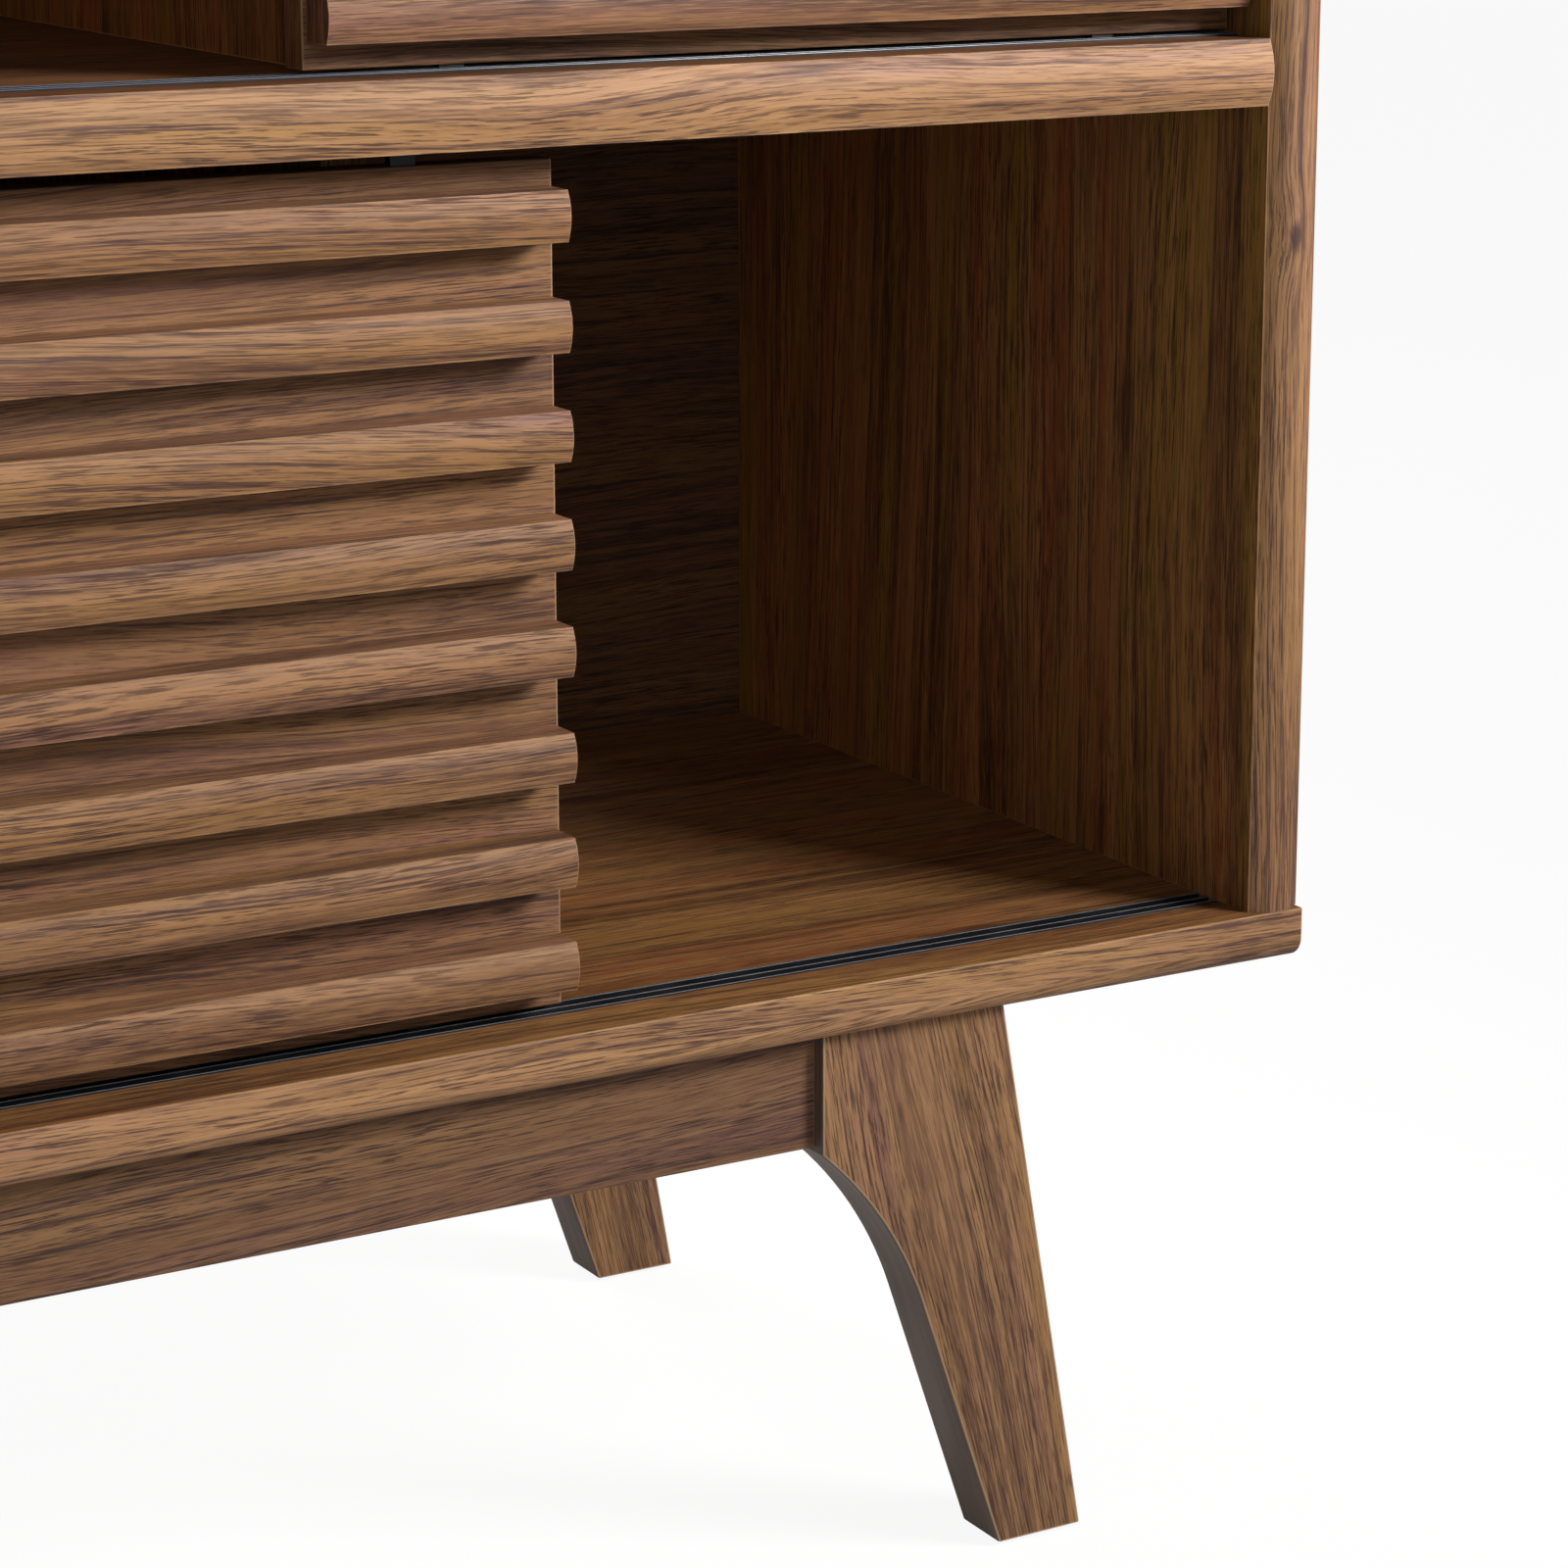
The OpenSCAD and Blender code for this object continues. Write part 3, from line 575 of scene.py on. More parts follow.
@dataclass
class Board:
    """A straight board: an extruded outline with eased edges and a board map that follows its faces."""

    END_PLACES: ClassVar[Point] = (1.7, 3.1)  # where the two ends lie in the pattern

    name: str
    run: Run
    outline: Sequence[Point]
    start: float
    end: float
    seed: float | None = 0.0
    ease: float = 0.7 * MM
    round_grain: bool = False
    end_grain: Point = (0.0, 1.0)
    side_finish: int = 0
    edge_wear_and_highlight: float = 0.06
    inner: Sequence[Vector] = ()

    def build(self, *finishes: bpy.types.Material,
              cutters: Iterable[bpy.types.Object] = ()) -> bpy.types.Object:
        """Builds the board.

        Args:
            finishes: its materials: the ends take the first, the other faces side_finish, and a face that
                looks in one of the inner directions takes the second.
            cutters: what is cut out of it, and removed.

        Returns:
            The board as an object at the origin.
        """
        bm = bmesh.new()
        wear_and_highlight = bm.faces.layers.float.new(WEAR_AND_HIGHLIGHT)
        ends = (self.start, self.end)
        rings = [[bm.verts.new(self.run.place(a, b, t)) for a, b in self.outline] for t in ends]
        count = len(self.outline)
        for ring in rings:
            bm.faces.new(ring)
        for i in range(count):
            j = (i + 1) % count
            bm.faces.new((rings[0][i], rings[0][j], rings[1][j], rings[1][i]))
        bmesh.ops.recalc_face_normals(bm, faces=bm.faces)
        sharp = [e for e in bm.edges if e.calc_face_angle() > SHARP]
        eased = bmesh.ops.bevel(bm, geom=sharp, offset=self.ease, segments=2, profile=0.5,
                                affect="EDGES", clamp_overlap=True)["faces"]
        # Eased faces are painted lighter by the finishes, fully at the board's ends: partly rubbed edges,
        # partly painted highlight.
        for face in eased:
            face[wear_and_highlight] = 1.0 if abs(face.normal[self.run.value]) > 0.2 else self.edge_wear_and_highlight
        board = carve(solid(self.name, bm), cutters)
        self._map(board.data)
        for finish in finishes:
            board.data.materials.append(finish)
        if self.seed is not None:
            values = board.data.attributes.new(SEED, "FLOAT", "POINT").data
            values.foreach_set("value", [self.seed] * len(board.data.vertices))
        board.data.shade_smooth()
        board.data.set_sharp_from_angle(angle=CREASE)
        return board

    def _map(self, mesh: bpy.types.Mesh) -> None:
        """Gives each face its part of the board map and its finish: the second one on an inner face."""
        bm = bmesh.new()
        bm.from_mesh(mesh)
        layer = bm.loops.layers.uv.get(BOARD_MAP) or bm.loops.layers.uv.new(BOARD_MAP)
        edges = self._edges()
        for face in bm.faces:
            centre = face.calc_center_median()
            at_end = abs(face.normal[self.run.value]) > END_FACING
            face.material_index = 0 if at_end else self.side_finish
            if any(face.normal.dot(way) > FACING for way in self.inner):
                face.material_index = 1
            ca, cb, _ = self.run.read(centre)
            edge = min(edges, key=lambda e: e.gap(ca, cb))
            for loop in face.loops:
                a, b, t = self.run.read(loop.vert.co)
                if at_end:
                    loop[layer].uv = self._end_uv(a, b, t)
                else:
                    way = edge.way(a, b)
                    loop[layer].uv = (way, t) if self.round_grain else (t, way)
        bm.to_mesh(mesh)
        bm.free()

    def _edges(self) -> list["OutlineEdge"]:
        """The outline's edges, each with the way walked to its start."""
        edges, walked = [], 0.0
        for i, start in enumerate(self.outline):
            end = self.outline[(i + 1) % len(self.outline)]
            edges.append(OutlineEdge(start, end, walked))
            walked += math.dist(start, end)
        return edges

    def _end_uv(self, a: float, b: float, t: float) -> Point:
        """The board map on an end of the board."""
        ga, gb = self.end_grain
        offset = self.END_PLACES[t > (self.start + self.end) / 2]
        return a * ga + b * gb + offset, a * gb - b * ga + offset


@dataclass(frozen=True)
class OutlineEdge:
    """One edge of a board's outline."""

    start: Point
    end: Point
    walked: float

    def share(self, a: float, b: float) -> float:
        """How far along the edge a point lies, from 0 to 1 between its ends."""
        da, db = self.end[0] - self.start[0], self.end[1] - self.start[1]
        return ((a - self.start[0]) * da + (b - self.start[1]) * db) / (da * da + db * db)

    def gap(self, a: float, b: float) -> float:
        """The distance from the edge to a point."""
        share = max(0.0, min(1.0, self.share(a, b)))
        near = [s + (e - s) * share for s, e in zip(self.start, self.end)]
        return math.dist((a, b), near)

    def way(self, a: float, b: float) -> float:
        """The way round the outline to a point beside this edge."""
        return self.walked + self.share(a, b) * math.dist(self.start, self.end)


def block_outline(low: Point, high: Point) -> list[Point]:
    """The four corners of a rectangle."""
    return [low, (high[0], low[1]), high, (low[0], high[1])]


def block(low: Vector, high: Vector) -> bpy.types.Object:
    """A plain block that cuts a recess."""
    bm = bmesh.new()
    bmesh.ops.create_cube(bm, size=1.0)
    for vert in bm.verts:
        vert.co = Vector(h if c > 0 else l for c, l, h in zip(vert.co, low, high))
    return solid("cutter", bm)


def lathe(name: str, profile: Sequence[Point], sides: int) -> bpy.types.Object:
    """A turned shape about Z.

    Args:
        name: its name.
        profile: (radius, height) points from its bottom to its top; the first and last lie on the axis.
        sides: how many sides it has.

    Returns:
        The object.
    """
    bm = bmesh.new()
    poles = [bm.verts.new((0.0, 0.0, profile[i][1])) for i in (0, -1)]
    turns = [math.tau * k / sides for k in range(sides)]
    rings = [[bm.verts.new((r * math.cos(t), r * math.sin(t), z)) for t in turns] for r, z in profile[1:-1]]
    for k in range(sides):
        n = (k + 1) % sides
        bm.faces.new((poles[0], rings[0][n], rings[0][k]))
        bm.faces.new((poles[1], rings[-1][k], rings[-1][n]))
        for low, high in zip(rings, rings[1:]):
            bm.faces.new((low[k], low[n], high[n], high[k]))
    bmesh.ops.recalc_face_normals(bm, faces=bm.faces)
    item = solid(name, bm)
    item.data.shade_smooth()
    item.data.set_sharp_from_angle(angle=TURNED_CREASE)
    return item


def carve(item: bpy.types.Object, cutters: Iterable[bpy.types.Object]) -> bpy.types.Object:
    """Cuts the cutters out of an item, and removes them."""
    cutters = list(cutters)
    if not cutters:
        return item
    for cutter in cutters:
        cut = item.modifiers.new("cut", "BOOLEAN")
        cut.operation = "DIFFERENCE"
        cut.solver = "EXACT"
        cut.object = cutter
    settle(item)
    for cutter in cutters:
        bpy.data.objects.remove(cutter)
    return item


def islands(node: str) -> list[tuple[Vector, Vector]]:
    """The box of each separate solid of a frame node, in a fixed order."""
    bm = bmesh.new()
    bm.from_mesh(bpy.data.objects[node].data)
    bmesh.ops.remove_doubles(bm, verts=bm.verts, dist=1e-6)
    left, boxes = set(bm.verts), []
    while left:
        found, edge = set(), [left.pop()]
        while edge:
            vert = edge.pop()
            found.add(vert)
            near = {e.other_vert(vert) for e in vert.link_edges} & left
            left -= near
            edge.extend(near)
        corners = [v.co for v in found]
        low = Vector(min(c[i] for c in corners) for i in range(3))
        high = Vector(max(c[i] for c in corners) for i in range(3))
        boxes.append((low, high))
    bm.free()
    return sorted(boxes, key=lambda b: tuple(round(c, 4) for c in b[0]))


# ---- repeated parts ----


class Array:
    """A Geometry Nodes tree that repeats one part, and the plain mesh that it makes."""

    SEED_STEP: ClassVar[float] = 0.61  # between one repeated part and the next

    def __init__(self, name: str) -> None:
        """Starts a tree with its geometry sockets."""
        self.name = name
        self.tree = bpy.data.node_groups.new(name, "GeometryNodeTree")
        self.graph = Graph(self.tree)
        self.values: dict[str, object] = {}
        self.tree.interface.new_socket("Geometry", in_out="INPUT", socket_type="NodeSocketGeometry")
        self.tree.interface.new_socket("Geometry", in_out="OUTPUT", socket_type="NodeSocketGeometry")

    def input(self, name: str, kind: str, value: object) -> Sock:
        """Adds a named input to the tree and sets what it takes.

        Args:
            name: the input's name.
            kind: its socket type.
            value: its value.

        Returns:
            The socket that gives it inside the tree.
        """
        self.tree.interface.new_socket(name, in_out="INPUT", socket_type=kind)
        self.values[name] = value
        return self.graph.node("NodeGroupInput", out=name)

    def points(self) -> Sock:
        """The points of the object that the tree is put on."""
        return self.graph.node("NodeGroupInput", out="Geometry")

    def repeat(self, points: Sock, part: bpy.types.Object, turn: Place, finish: bpy.types.Material,
               seed: float = 0.0) -> None:
        """Ends the tree: the part on each point, with a seed of its own, made real and finished.

        Args:
            points: where the parts go.
            part: the part that is repeated.
            turn: how each one is turned, in radians.
            finish: the material of them all.
            seed: the first part's seed.
        """
        g = self.graph
        shape = g.node("GeometryNodeObjectInfo", {"Object": self.input("Part", "NodeSocketObject", part)},
                       out="Geometry")
        rotation = self.input("Turn", "NodeSocketRotation", turn)
        values = {"Points": points, "Instance": shape, "Rotation": rotation}
        placed = g.node("GeometryNodeInstanceOnPoints", values)
        first = self.input("First seed", "NodeSocketFloat", seed)
        number = g.node("GeometryNodeInputIndex") * self.SEED_STEP + first
        values = {"Geometry": placed, "Name": SEED, "Value": number}
        named = g.node("GeometryNodeStoreNamedAttribute", values, data_type="FLOAT", domain="INSTANCE")
        real = g.node("GeometryNodeRealizeInstances", {"Geometry": named})
        material = self.input("Finish", "NodeSocketMaterial", finish)
        done = g.node("GeometryNodeSetMaterial", {"Geometry": real, "Material": material})
        g.node("NodeGroupOutput", {"Geometry": done})

    def mesh(self, name: str, places: Iterable[Vector]) -> bpy.types.Object:
        """Makes the repeated part real.

        Args:
            name: the new object's name.
            places: its points, which the tree starts from.

        Returns:
            The object, as a plain mesh. The part that was repeated is removed.
        """
        mesh = bpy.data.meshes.new(name)
        mesh.from_pydata([tuple(p) for p in places], [], [])
        item = linked(name, mesh)
        modifier = item.modifiers.new(self.name, "NODES")
        modifier.node_group = self.tree
        for socket in self.tree.interface.items_tree:
            if socket.in_out == "INPUT" and socket.name in self.values:
                modifier[socket.identifier] = self.values[socket.name]
        settle(item)
        bpy.data.objects.remove(self.values["Part"])
        return item


# ---- sub-assemblies ----


def publish(item: bpy.types.Object, body: str, slot: str, *nodes: str) -> bpy.types.Object:
    """Makes an item a piece of the cabinet.

    Args:
        item: the finished object.
        body: the body it moves with.
        slot: the record's material slot. Not used.
        nodes: the frame's nodes that it stands for.

    Returns:
        The item.
    """
    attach(item, body)
    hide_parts(*nodes)
    LOG.info("%s on %s: %d faces, for %s", item.name, body, len(item.data.polygons), ", ".join(nodes))
    return item


def dress(nodes: Iterable[str], finish: bpy.types.Material) -> None:
    """Gives carried-over frame nodes a finish."""
    for node in nodes:
        item = bpy.data.objects[node]
        item.data.materials.clear()
        item.data.materials.append(finish)
        LOG.info("%s: kept from the frame, in %s", node, finish.name)


@dataclass
class Carcass:
    """The box of the cabinet: bottom, top, sides, shelf, dividers and back panels."""

    finishes: Finishes
    mounts: Sequence[dict]
    panel_round: float = 9 * MM
    side_nose: float = 5 * MM
    shelf_nose: float = 3.5 * MM
    nose_land: float = 0.5 * MM
    rebate_gap: float = 1 * MM
    track_gap: float = 0.1 * MM
    cable_hole_d: float = 60 * MM
    cable_hole_sides: int = 64

    def build(self) -> None:
        """Builds every board of the carcass."""
        self._cap("bottom", "lower", 1, 0.4, self.finishes.carcass, self.finishes.floor)
        self._cap("top", "upper", -1, 1.3, self.finishes.top, self.finishes.inner)
        for side, sign in (("left", -1), ("right", 1)):
            self._side(side, sign)
        self._shelf()
        for i, tier in enumerate(("lower", "upper")):
            self._divider(tier, i)
            self._back(tier, i)

    def _rebate(self, back_panel: str) -> bpy.types.Object:
        """The cutter of the rebate that a back panel sits in."""
        low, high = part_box(back_panel)
        gap = self.rebate_gap
        return block(low - Vector((gap, 0.0, gap)), high + Vector((gap, 1.0, gap)))

    def _track_slot(self, track: str) -> bpy.types.Object:
        """The cutter of the slot that a track is let into."""
        low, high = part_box(track)
        gap = self.track_gap
        return block(low - Vector((5 * gap, gap, 0.0)), high + Vector((5 * gap, gap, 0.0)))

    def _cap(self, name: str, tier: str, up: int, seed: float, outside: bpy.types.Material,
             inside: bpy.types.Material) -> None:
        """The bottom or the top panel, with its inner face looking up (1) or down (-1)."""
        node = f"{name}_panel"
        low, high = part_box(node)
        r = self.panel_round
        if up > 0:
            corner = arc((low.y + r, low.z + r), r, 180, 270, 8)
            rest = [(high.y, low.z), (high.y, high.z), (low.y, high.z)]
        else:
            corner = arc((low.y + r, high.z - r), r, 90, 180, 8)
            rest = [(low.y, low.z), (high.y, low.z), (high.y, high.z)]
        cutters = [self._track_slot(f"{tier}_{name}_track"), self._rebate(f"{tier}_back_panel")]
        board = Board(f"{node}_board", Run.X, corner + rest, low.x, high.x, seed, end_grain=(1.0, 0.0),
                      edge_wear_and_highlight=0.3, inner=[UP * up])
        publish(board.build(outside, inside, cutters=cutters), "cabinet", "carcass_walnut", node)

    def _side(self, side: str, sign: int) -> None:
        """A side panel: nosed front, and a rebate for the back panels."""
        node = f"{side}_side_panel"
        low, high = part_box(node)
        back_low, back_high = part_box("lower_back_panel")
        inner, outer = (low.x, high.x) if sign > 0 else (high.x, low.x)
        rebate = back_high.x + self.rebate_gap if sign > 0 else back_low.x - self.rebate_gap
        edges = sorted((inner, outer))
        front = nose(low.y + self.side_nose, edges[0], edges[1], self.side_nose, self.nose_land)
        outline = [(x, y) for y, x in front]
        corners = [(inner, back_low.y), (rebate, back_low.y), (rebate, high.y), (outer, high.y)]
        outline += corners if sign > 0 else corners[::-1]
        board = Board(f"{side}_side_board", Run.Z, outline, low.z, high.z, 2.2 + sign,
                      inner=[Vector((-sign, 0.0, 0.0))])
        publish(board.build(self.finishes.side, self.finishes.inner), "cabinet", "carcass_walnut", node)

    def _shelf(self) -> None:
        """The middle shelf: nosed front, and a slot along each face for a track."""
        low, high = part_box("middle_shelf")
        under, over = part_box("lower_top_track"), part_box("upper_bottom_track")
        gap = self.track_gap
        outline = nose(low.y + self.shelf_nose, low.z, high.z, self.shelf_nose, self.nose_land)
        for (t_low, t_high), face, floor in ((under, low.z, under[1].z), (over, high.z, over[0].z)):
            front, back = t_low.y - gap, t_high.y + gap
            slot = [(front, face), (front, floor), (back, floor), (back, face)]
            corner = [(high.y, low.z), (high.y, high.z)]
            outline += [*slot, *corner] if face == low.z else slot[::-1]
        board = Board("middle_shelf_board", Run.X, outline, low.x, high.x, 4.1, inner=[UP, -UP])
        item = board.build(self.finishes.carcass, self.finishes.shelf)
        publish(item, "cabinet", "carcass_walnut", "middle_shelf")

    def _divider(self, tier: str, i: int) -> None:
        """A divider, which stands behind the doors."""
        low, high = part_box(f"{tier}_divider")
        outline = block_outline((low.x, low.y), (high.x, high.y))
        board = Board(f"{tier}_divider_board", Run.Z, outline, low.z, high.z, 5.0 + i)
        publish(board.build(self.finishes.inner), "cabinet", "inner_walnut", f"{tier}_divider")

    def _back(self, tier: str, i: int) -> None:
        """A back panel with a cable hole behind each compartment."""
        low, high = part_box(f"{tier}_back_panel")
        outline = block_outline((low.y, low.z), (high.y, high.z))
        board = Board(f"{tier}_back_board", Run.X, outline, low.x, high.x, 7.0 + i, ease=0.4 * MM,
                      inner=[Vector((0.0, -1.0, 0.0))])
        mounts = [m for m in self.mounts if m["name"].startswith(f"cable_hole_{tier}")]
        holes = [self._hole(Vector(m["pos_m"])) for m in mounts]
        item = board.build(self.finishes.side, self.finishes.back, cutters=holes)
        publish(item, "cabinet", "inner_walnut", f"{tier}_back_panel")

    def _hole(self, centre: Vector) -> bpy.types.Object:
        """The cutter of a cable hole."""
        radius, reach = self.cable_hole_d / 2, 10 * MM
        outline = arc((centre.x, centre.z), radius, 0, 360, self.cable_hole_sides)[:-1]
        ends = (centre.y - reach, centre.y + reach)
        return Board("cutter", Run.Y, outline, *ends, seed=None, ease=0.01 * MM).build()


@dataclass
class Tracks:
    """The twin-groove plastic tracks above and below each tier's doors."""

    finishes: Finishes
    lip: float = 1.0 * MM
    groove: float = 5.2 * MM
    rib: float = 1.6 * MM
    floor: float = 1.2 * MM

    def build(self) -> None:
        """Builds the four tracks."""
        for tier in ("lower", "upper"):
            for place, up in (("bottom", True), ("top", False)):
                self._track(f"{tier}_{place}_track", up)

    def _track(self, node: str, up: bool) -> None:
        """One track, with its grooves open upwards or downwards."""
        low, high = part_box(node)
        mouth, base = (high.z, low.z) if up else (low.z, high.z)
        bed = base + self.floor if up else base - self.floor
        first = low.y + self.lip
        outline = [(low.y, base), (low.y, mouth)]
        for start in (first, first + self.groove + self.rib):
            end = start + self.groove
            outline += [(start, mouth), (start, bed), (end, bed), (end, mouth)]
        outline += [(high.y, mouth), (high.y, base)]
        # The eased rib and lip edges take the plastic's painted highlight.
        board = Board(f"{node}_extrusion", Run.X, outline, low.x, high.x, ease=0.25 * MM, edge_wear_and_highlight=0.7)
        publish(board.build(self.finishes.plastic), "cabinet", "black_plastic", node)


@dataclass
class Screws:
    """Cross-head screws, repeated over the places of a frame node."""

    finishes: Finishes
    shank: float
    head: float
    head_h: float
    length: float
    proud: float
    sink: float = 0.4 * MM
    thread_turns: int = 7
    thread_h: float = 0.35 * MM
    thread_crest: float = 0.35
    cross_arm: float = 0.28
    cross_slit: float = 0.16
    cross_deep: float = 0.6
    crown_steps: int = 5
    sides: int = 20

    def source(self) -> bpy.types.Object:
        """One screw: its head's seat is at z = 0 and its tip points down."""
        r, top = self.shank / 2, self.proud
        tip = -self.length
        profile = [(0.0, tip), (r * 0.5, tip + 1.5 * r)]
        pitch = (self.length - self.head_h - 3 * r) / self.thread_turns
        for i in range(self.thread_turns):
            z = tip + 2 * r + i * pitch
            rise = pitch * self.thread_crest
            profile += [(r - self.thread_h, z), (r, z + rise), (r - self.thread_h, z + 2 * rise)]
        seat = -self.head_h
        profile += [(r, seat - 0.5 * r), (r, seat)]
        crown = [(self.head / 2, 0.0)]
        for k in range(1, self.crown_steps):
            turn = math.pi / 2 * k / self.crown_steps
            crown.append((self.head / 2 * math.cos(turn) ** 0.5, top * math.sin(turn)))
        screw = lathe("screw_source", [*profile, *crown, (0.0, top)], self.sides)
        arm, slit = self.head * self.cross_arm, self.shank * self.cross_slit
        deep = top - self.shank * self.cross_deep
        arms = ((arm, slit), (slit, arm))
        cross = [block(Vector((-a, -b, deep)), Vector((a, b, top + 1 * MM))) for a, b in arms]
        return carve(screw, cross)

    def build(self, node: str, body: str) -> None:
        """Repeats the screw over the places of a frame node, with its head at the back."""
        out = Vector((0.0, max(self.proud - self.sink, 0.0), 0.0))
        middles = [((low + high) / 2, high.y) for low, high in islands(node)]
        places = [Vector((middle.x, back, middle.z)) - out for middle, back in middles]
        array = Array(f"{node}_array")
        array.repeat(array.points(), self.source(), (-math.pi / 2, 0.0, 0.0), self.finishes.zinc)
        publish(array.mesh(f"{node}_set", places), body, "zinc_steel", node)


@dataclass
class Door:
    """A sliding door: a panel, its slats, and the screws that hold them."""

    finishes: Finishes
    tier: str
    seed: float
    slat_count: int = 8
    slat_seed: float = 0.3
    slat_crown: float = 2.5 * MM
    nose_land: float = 0.5 * MM

    def build(self) -> None:
        """Builds the door."""
        self._panel()
        self._slats()
        screws = Screws(self.finishes, shank=4 * MM, head=8 * MM, head_h=2 * MM, length=27 * MM,
                        proud=0.4 * MM)
        screws.build(f"{self.tier}_door_slat_screws", self.body)
        dress([f"{self.tier}_door_bottom_glides", f"{self.tier}_door_top_guides"], self.finishes.plastic)

    @property
    def body(self) -> str:
        """The body that the door is."""
        return f"{self.tier}_door"

    def _panel(self) -> None:
        """The door's panel, with its grain along X."""
        node = f"{self.tier}_door_panel"
        low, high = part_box(node)
        outline = block_outline((low.y, low.z), (high.y, high.z))
        board = Board(f"{self.tier}_door_board", Run.X, outline, low.x, high.x, self.seed)
        publish(board.build(self.finishes.panel), self.body, "door_walnut", node)

    def _slats(self) -> None:
        """The slats, each with its own stretch of grain."""
        nodes = [f"{self.tier}_door_slat_{i + 1}" for i in range(self.slat_count)]
        low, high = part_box(nodes[0])
        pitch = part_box(nodes[1])[0].z - low.z
        front = nose(low.y + self.slat_crown, low.z, high.z, self.slat_crown, self.nose_land)
        outline = [*front, (high.y, low.z), (high.y, high.z)]
        board = Board("slat_source", Run.X, outline, low.x, high.x, seed=None, ease=0.6 * MM, edge_wear_and_highlight=0.1)
        slat = board.build()
        array = Array(f"{self.tier}_slats")
        values = {"Count": array.input("Slats", "NodeSocketInt", self.slat_count),
                  "Offset": array.graph.vector(0.0, 0.0, array.input("Pitch", "NodeSocketFloat", pitch))}
        line = array.graph.node("GeometryNodeMeshLine", values)
        array.repeat(line, slat, (0.0, 0.0, 0.0), self.finishes.door, self.seed + self.slat_seed)
        publish(array.mesh(f"{self.tier}_door_slats", [Vector()]), self.body, "door_walnut", *nodes)


@dataclass
class LegFrame:
    """Four splayed legs joined by aprons and stretchers, with glides under the feet."""

    finishes: Finishes
    top_w: float = 86 * MM
    foot_w: float = 41 * MM
    upright: float = 51.5 * MM
    inner_angle: float = 18.8
    grain_angle: float = 12.8
    sweep_r: float = 170 * MM
    sweep_steps: int = 14
    glide_t: float = 2 * MM
    nail_d: float = 3 * MM
    nail_l: float = 16 * MM

    def build(self) -> None:
        """Builds the frame."""
        for i, (end, side) in enumerate((e, s) for e in ("front", "back") for s in ("left", "right")):
            self._leg(f"{end}_{side}_leg", 1 if side == "right" else -1, 9.0 + i)
        for i, node in enumerate(("front_apron", "back_apron")):
            self._rail(node, Run.X, 14.0 + i)
        for i, node in enumerate(("left_stretcher", "right_stretcher")):
            self._rail(node, Run.Y, 16.0 + i)
        self._glides()

    def leg_outline(self, reach: float, drop: float) -> list[Point]:
        """The outline of a right-hand leg as (x, z), from its upright inner edge and its top.

        Args:
            reach: how far the foot's outer corner stands from the upright edge.
            drop: the leg's height.

        Returns:
            The points, the sweep between the upright and the straight part included.
        """
        angle = math.radians(self.inner_angle)
        normal = Vector((math.cos(angle), math.sin(angle)))
        along = Vector((math.sin(angle), -math.cos(angle)))
        start, foot = Vector((0.0, -self.upright)), Vector((reach - self.foot_w, -drop))
        toward = (foot - start).dot(normal) - self.sweep_r
        down = math.sqrt(self.sweep_r**2 - toward**2)
        centre = start + toward * normal + down * along
        first = math.degrees(math.atan2(start.y - centre.y, start.x - centre.x))
        sweep = arc(tuple(centre), self.sweep_r, first, self.inner_angle, self.sweep_steps)
        return [(self.top_w, 0.0), (0.0, 0.0), *sweep, tuple(foot), (reach, -drop)]

    def _leg(self, node: str, sign: int, seed: float) -> None:
        """One leg, with its grain along the splay and banded narrow faces."""
        low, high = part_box(node)
        upright = low.x if sign > 0 else high.x
        points = self.leg_outline(high.x - low.x, high.z - low.z)
        outline = [(upright + sign * x, high.z + z) for x, z in points]
        angle = math.radians(self.grain_angle)
        board = Board(f"{node}_board", Run.Y, outline, low.y, high.y, seed, ease=1.1 * MM, round_grain=True,
                      end_grain=(sign * math.sin(angle), -math.cos(angle)), side_finish=1)
        publish(board.build(self.finishes.leg, self.finishes.band), "cabinet", "leg_walnut", node)

    def _rail(self, node: str, run: Run, seed: float) -> None:
        """An apron or a stretcher."""
        low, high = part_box(node)
        a_low, b_low, start = run.read(low)
        a_high, b_high, end = run.read(high)
        outline = block_outline((a_low, b_low), (a_high, b_high))
        board = Board(f"{node}_board", run, outline, start, end, seed)
        publish(board.build(self.finishes.rail), "cabinet", "leg_walnut", node)

    def _glides(self) -> None:
        """The nail-on glides under the feet."""
        boxes = islands("foot_glides")
        radius = (boxes[0][1].x - boxes[0][0].x) / 2
        t, n = self.glide_t, self.nail_d / 2
        profile = [(0.0, 0.0), (radius * 0.8, 0.0), (radius * 0.95, t * 0.25), (radius, t * 0.6)]
        profile += [(radius * 0.97, t), (n, t), (n, t + self.nail_l * 0.85), (0.0, t + self.nail_l)]
        source = lathe("glide_source", profile, 32)
        places = [Vector(((low.x + high.x) / 2, (low.y + high.y) / 2, low.z)) for low, high in boxes]
        array = Array("foot_glide_array")
        array.repeat(array.points(), source, (0.0, 0.0, 0.0), self.finishes.plastic)
        publish(array.mesh("foot_glide_set", places), "cabinet", "black_plastic", "foot_glides")


@dataclass
class Fittings:
    """The carcass's fittings: back screws, and the hidden nodes that keep their own shapes."""

    finishes: Finishes

    def build(self) -> None:
        """Builds the back screws and dresses the rest."""
        screws = Screws(self.finishes, shank=3 * MM, head=7 * MM, head_h=0.2 * MM, length=18 * MM,
                        proud=2 * MM)
        for tier in ("lower", "upper"):
            screws.build(f"{tier}_back_screws", "cabinet")
        steel = ("frame_brackets", "bracket_screws", "carcass_screws", "cam_bolts", "cam_locks")
        dress(steel, self.finishes.zinc)
        dress(["frame_dowels", "carcass_dowels"], self.finishes.beech)


# ---- studio ----


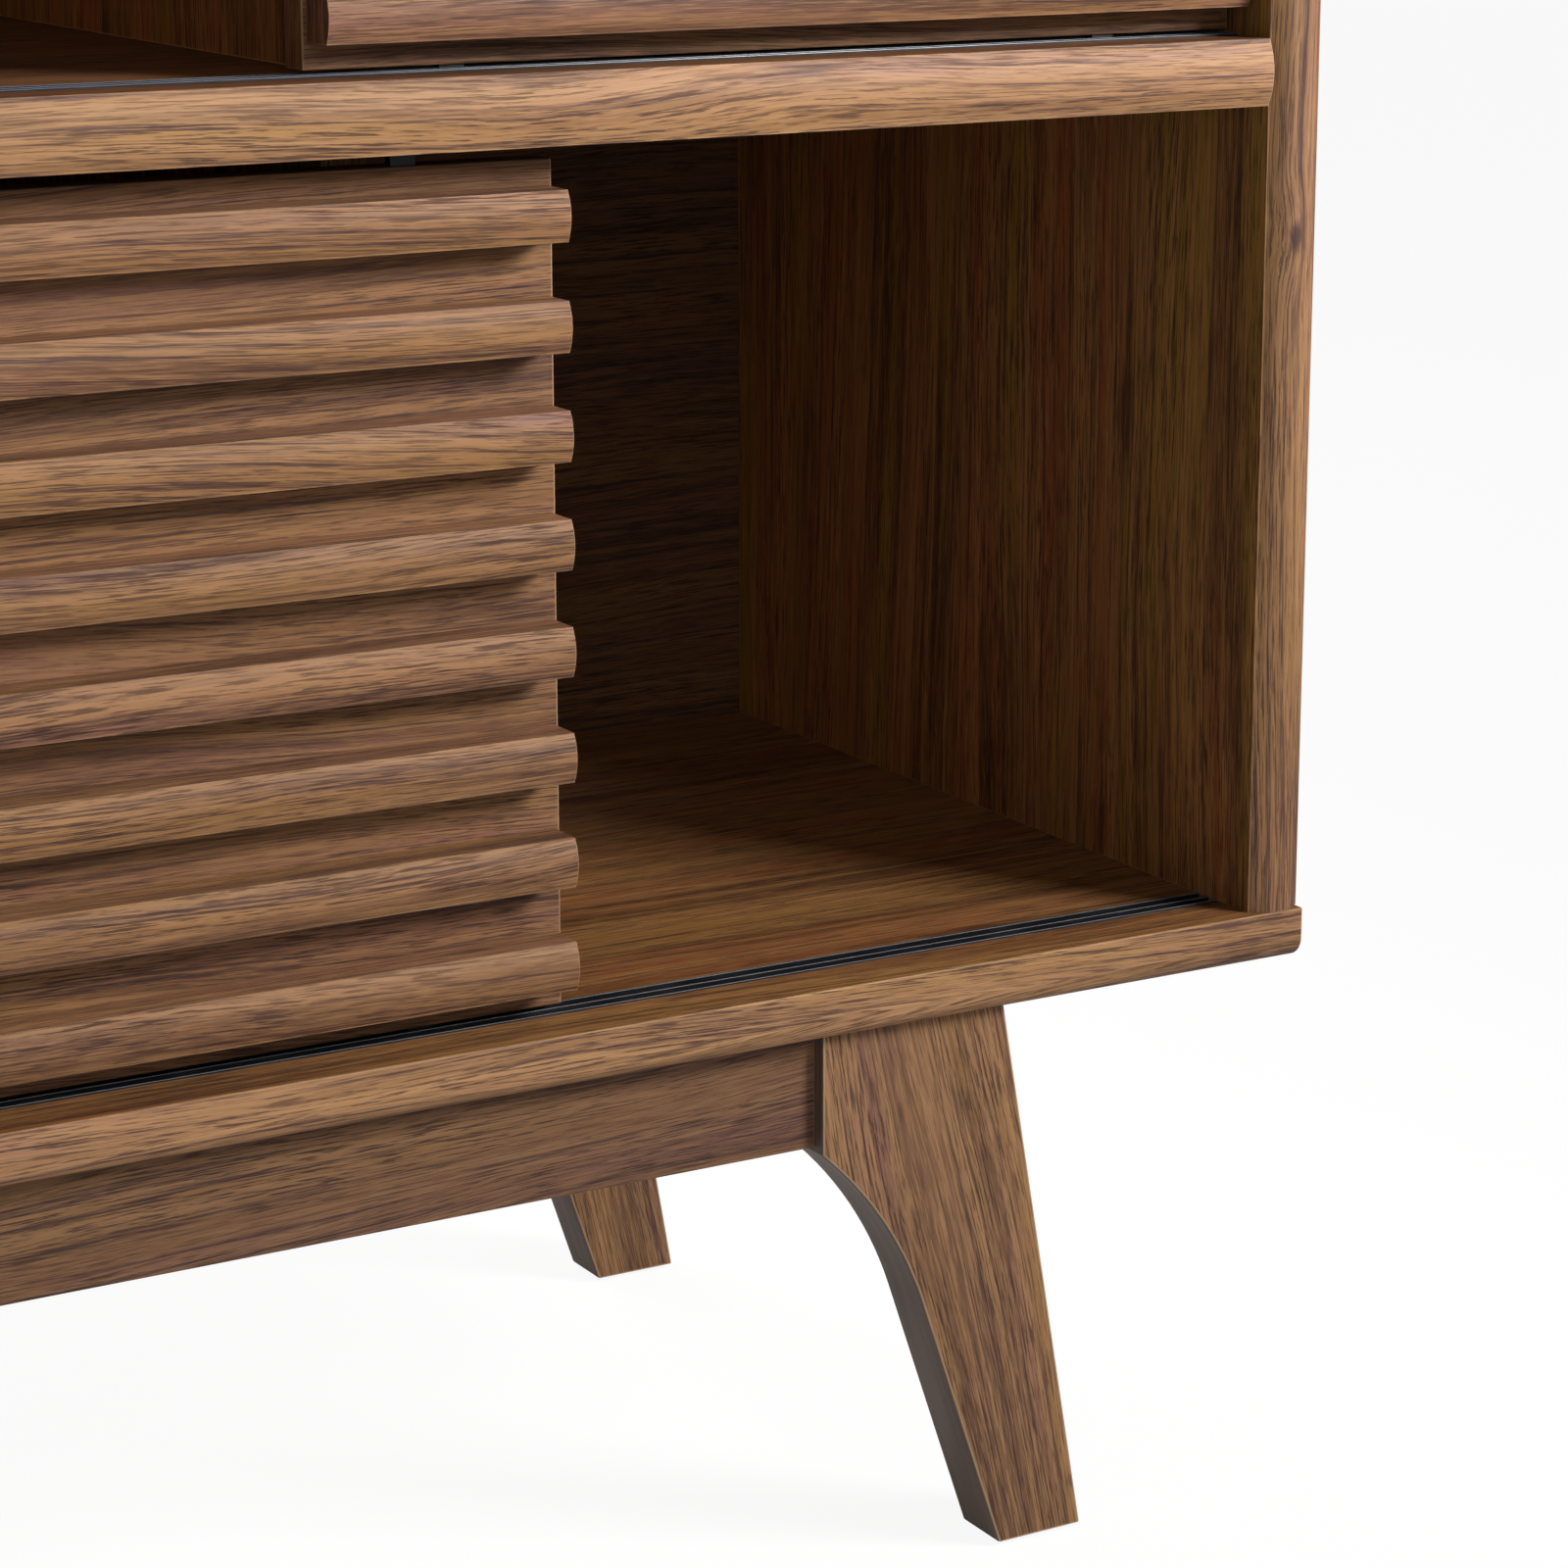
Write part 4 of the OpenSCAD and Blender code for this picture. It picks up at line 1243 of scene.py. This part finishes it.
@dataclass(frozen=True)
class Lamp:
    """A square soft light that is aimed at a point."""

    name: str
    place: Place
    aim: Place
    size: float
    power: float
    spread: float = 180.0

    def build(self) -> None:
        """Adds the light to the scene."""
        data = bpy.data.lights.new(self.name, "AREA")
        data.shape = "SQUARE"
        data.size = self.size
        data.energy = self.power
        data.spread = math.radians(self.spread)
        lamp = linked(self.name, data)
        lamp.location = self.place
        lamp.rotation_euler = (Vector(self.aim) - Vector(self.place)).to_track_quat("-Z", "Y").to_euler()


@dataclass(frozen=True)
class Studio:
    """The camera, the pale floor and the soft light.

    The world and the floor give one brightness as light, and another where the camera sees them.
    """

    camera_place: Place = (-0.6485, -1.5894, 0.7518)
    camera_turn: float = 30.5
    camera_tilt: float = -13.0
    lens: float = 97.22
    sensor: float = 36.0
    shift_down: float = -0.06
    world_light: float = 0.16
    world_seen: float = 0.965
    floor_half: float = 40.0
    floor_tone: Colour = (0.7, 0.7, 0.7)
    floor_tone_seen: Colour = (0.12, 0.12, 0.12)
    floor_light: float = 0.11
    floor_seen: float = 0.91
    lamps: tuple[Lamp, ...] = (
        Lamp("key_light", (1.45, -1.55, 1.48), (0.1, -0.2, 1.02), 0.7, 17.5, spread=84.0),
        Lamp("front_light", (-0.6, -3.4, 1.6), (0.1, 0.0, 0.4), 2.0, 14.0),
        Lamp("back_light", (-0.8, 3.0, 2.4), (0.0, 0.0, 0.6), 2.4, 45.0),
    )

    def build(self) -> None:
        """Builds the studio."""
        bpy.context.scene.view_settings.view_transform = "Standard"
        self._camera()
        self._world()
        self._floor()
        for lamp in self.lamps:
            lamp.build()

    def _camera(self) -> None:
        """The camera, at the height and angle the cabinet is seen from."""
        data = bpy.data.cameras.new("camera")
        data.lens = self.lens
        data.sensor_width = self.sensor
        data.shift_y = self.shift_down
        camera = linked("camera", data)
        camera.location = self.camera_place
        turn, tilt = math.radians(self.camera_turn), math.radians(self.camera_tilt)
        camera.rotation_euler = (math.pi / 2 + tilt, 0.0, -turn)
        bpy.context.scene.camera = camera

    def _world(self) -> None:
        """A white surround that lights the room softly."""
        world = bpy.data.worlds.new("surround")
        world.use_nodes = True
        g = Graph(world.node_tree)
        seen = g.node("ShaderNodeLightPath", out="Is Camera Ray")
        glow = seen * (self.world_seen - self.world_light) + self.world_light
        light = g.node("ShaderNodeBackground", {"Color": (1.0, 1.0, 1.0, 1.0), "Strength": glow})
        g.node("ShaderNodeOutputWorld", {"Surface": light})
        bpy.context.scene.world = world

    def _floor(self) -> None:
        """A plain pale floor that reaches out of sight."""
        half = self.floor_half
        corners = [(-half, -half, 0.0), (half, -half, 0.0), (half, half, 0.0), (-half, half, 0.0)]
        mesh = bpy.data.meshes.new("floor")
        mesh.from_pydata(corners, [], [(0, 1, 2, 3)])
        material, g = shader("pale_floor")
        seen = g.node("ShaderNodeLightPath", out="Is Camera Ray")
        tone = g.mix(seen, self.floor_tone, self.floor_tone_seen)
        glow = seen * (self.floor_seen - self.floor_light) + self.floor_light
        surface(g, Base_Color=tone, Roughness=0.9, Emission_Color=(1.0, 1.0, 1.0, 1.0),
                Emission_Strength=glow)
        mesh.materials.append(material)
        linked("floor", mesh)


def main() -> None:
    """Builds the looks round the frame."""
    logging.basicConfig(level=logging.INFO, format="%(name)s: %(message)s")
    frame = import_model()
    Studio().build()
    finishes = Finishes()
    Carcass(finishes, frame["record"]["mounts"]).build()
    Tracks(finishes).build()
    Door(finishes, "lower", 20.0).build()
    Door(finishes, "upper", 27.0).build()
    LegFrame(finishes).build()
    Fittings(finishes).build()


if __name__ == "__main__":
    main()
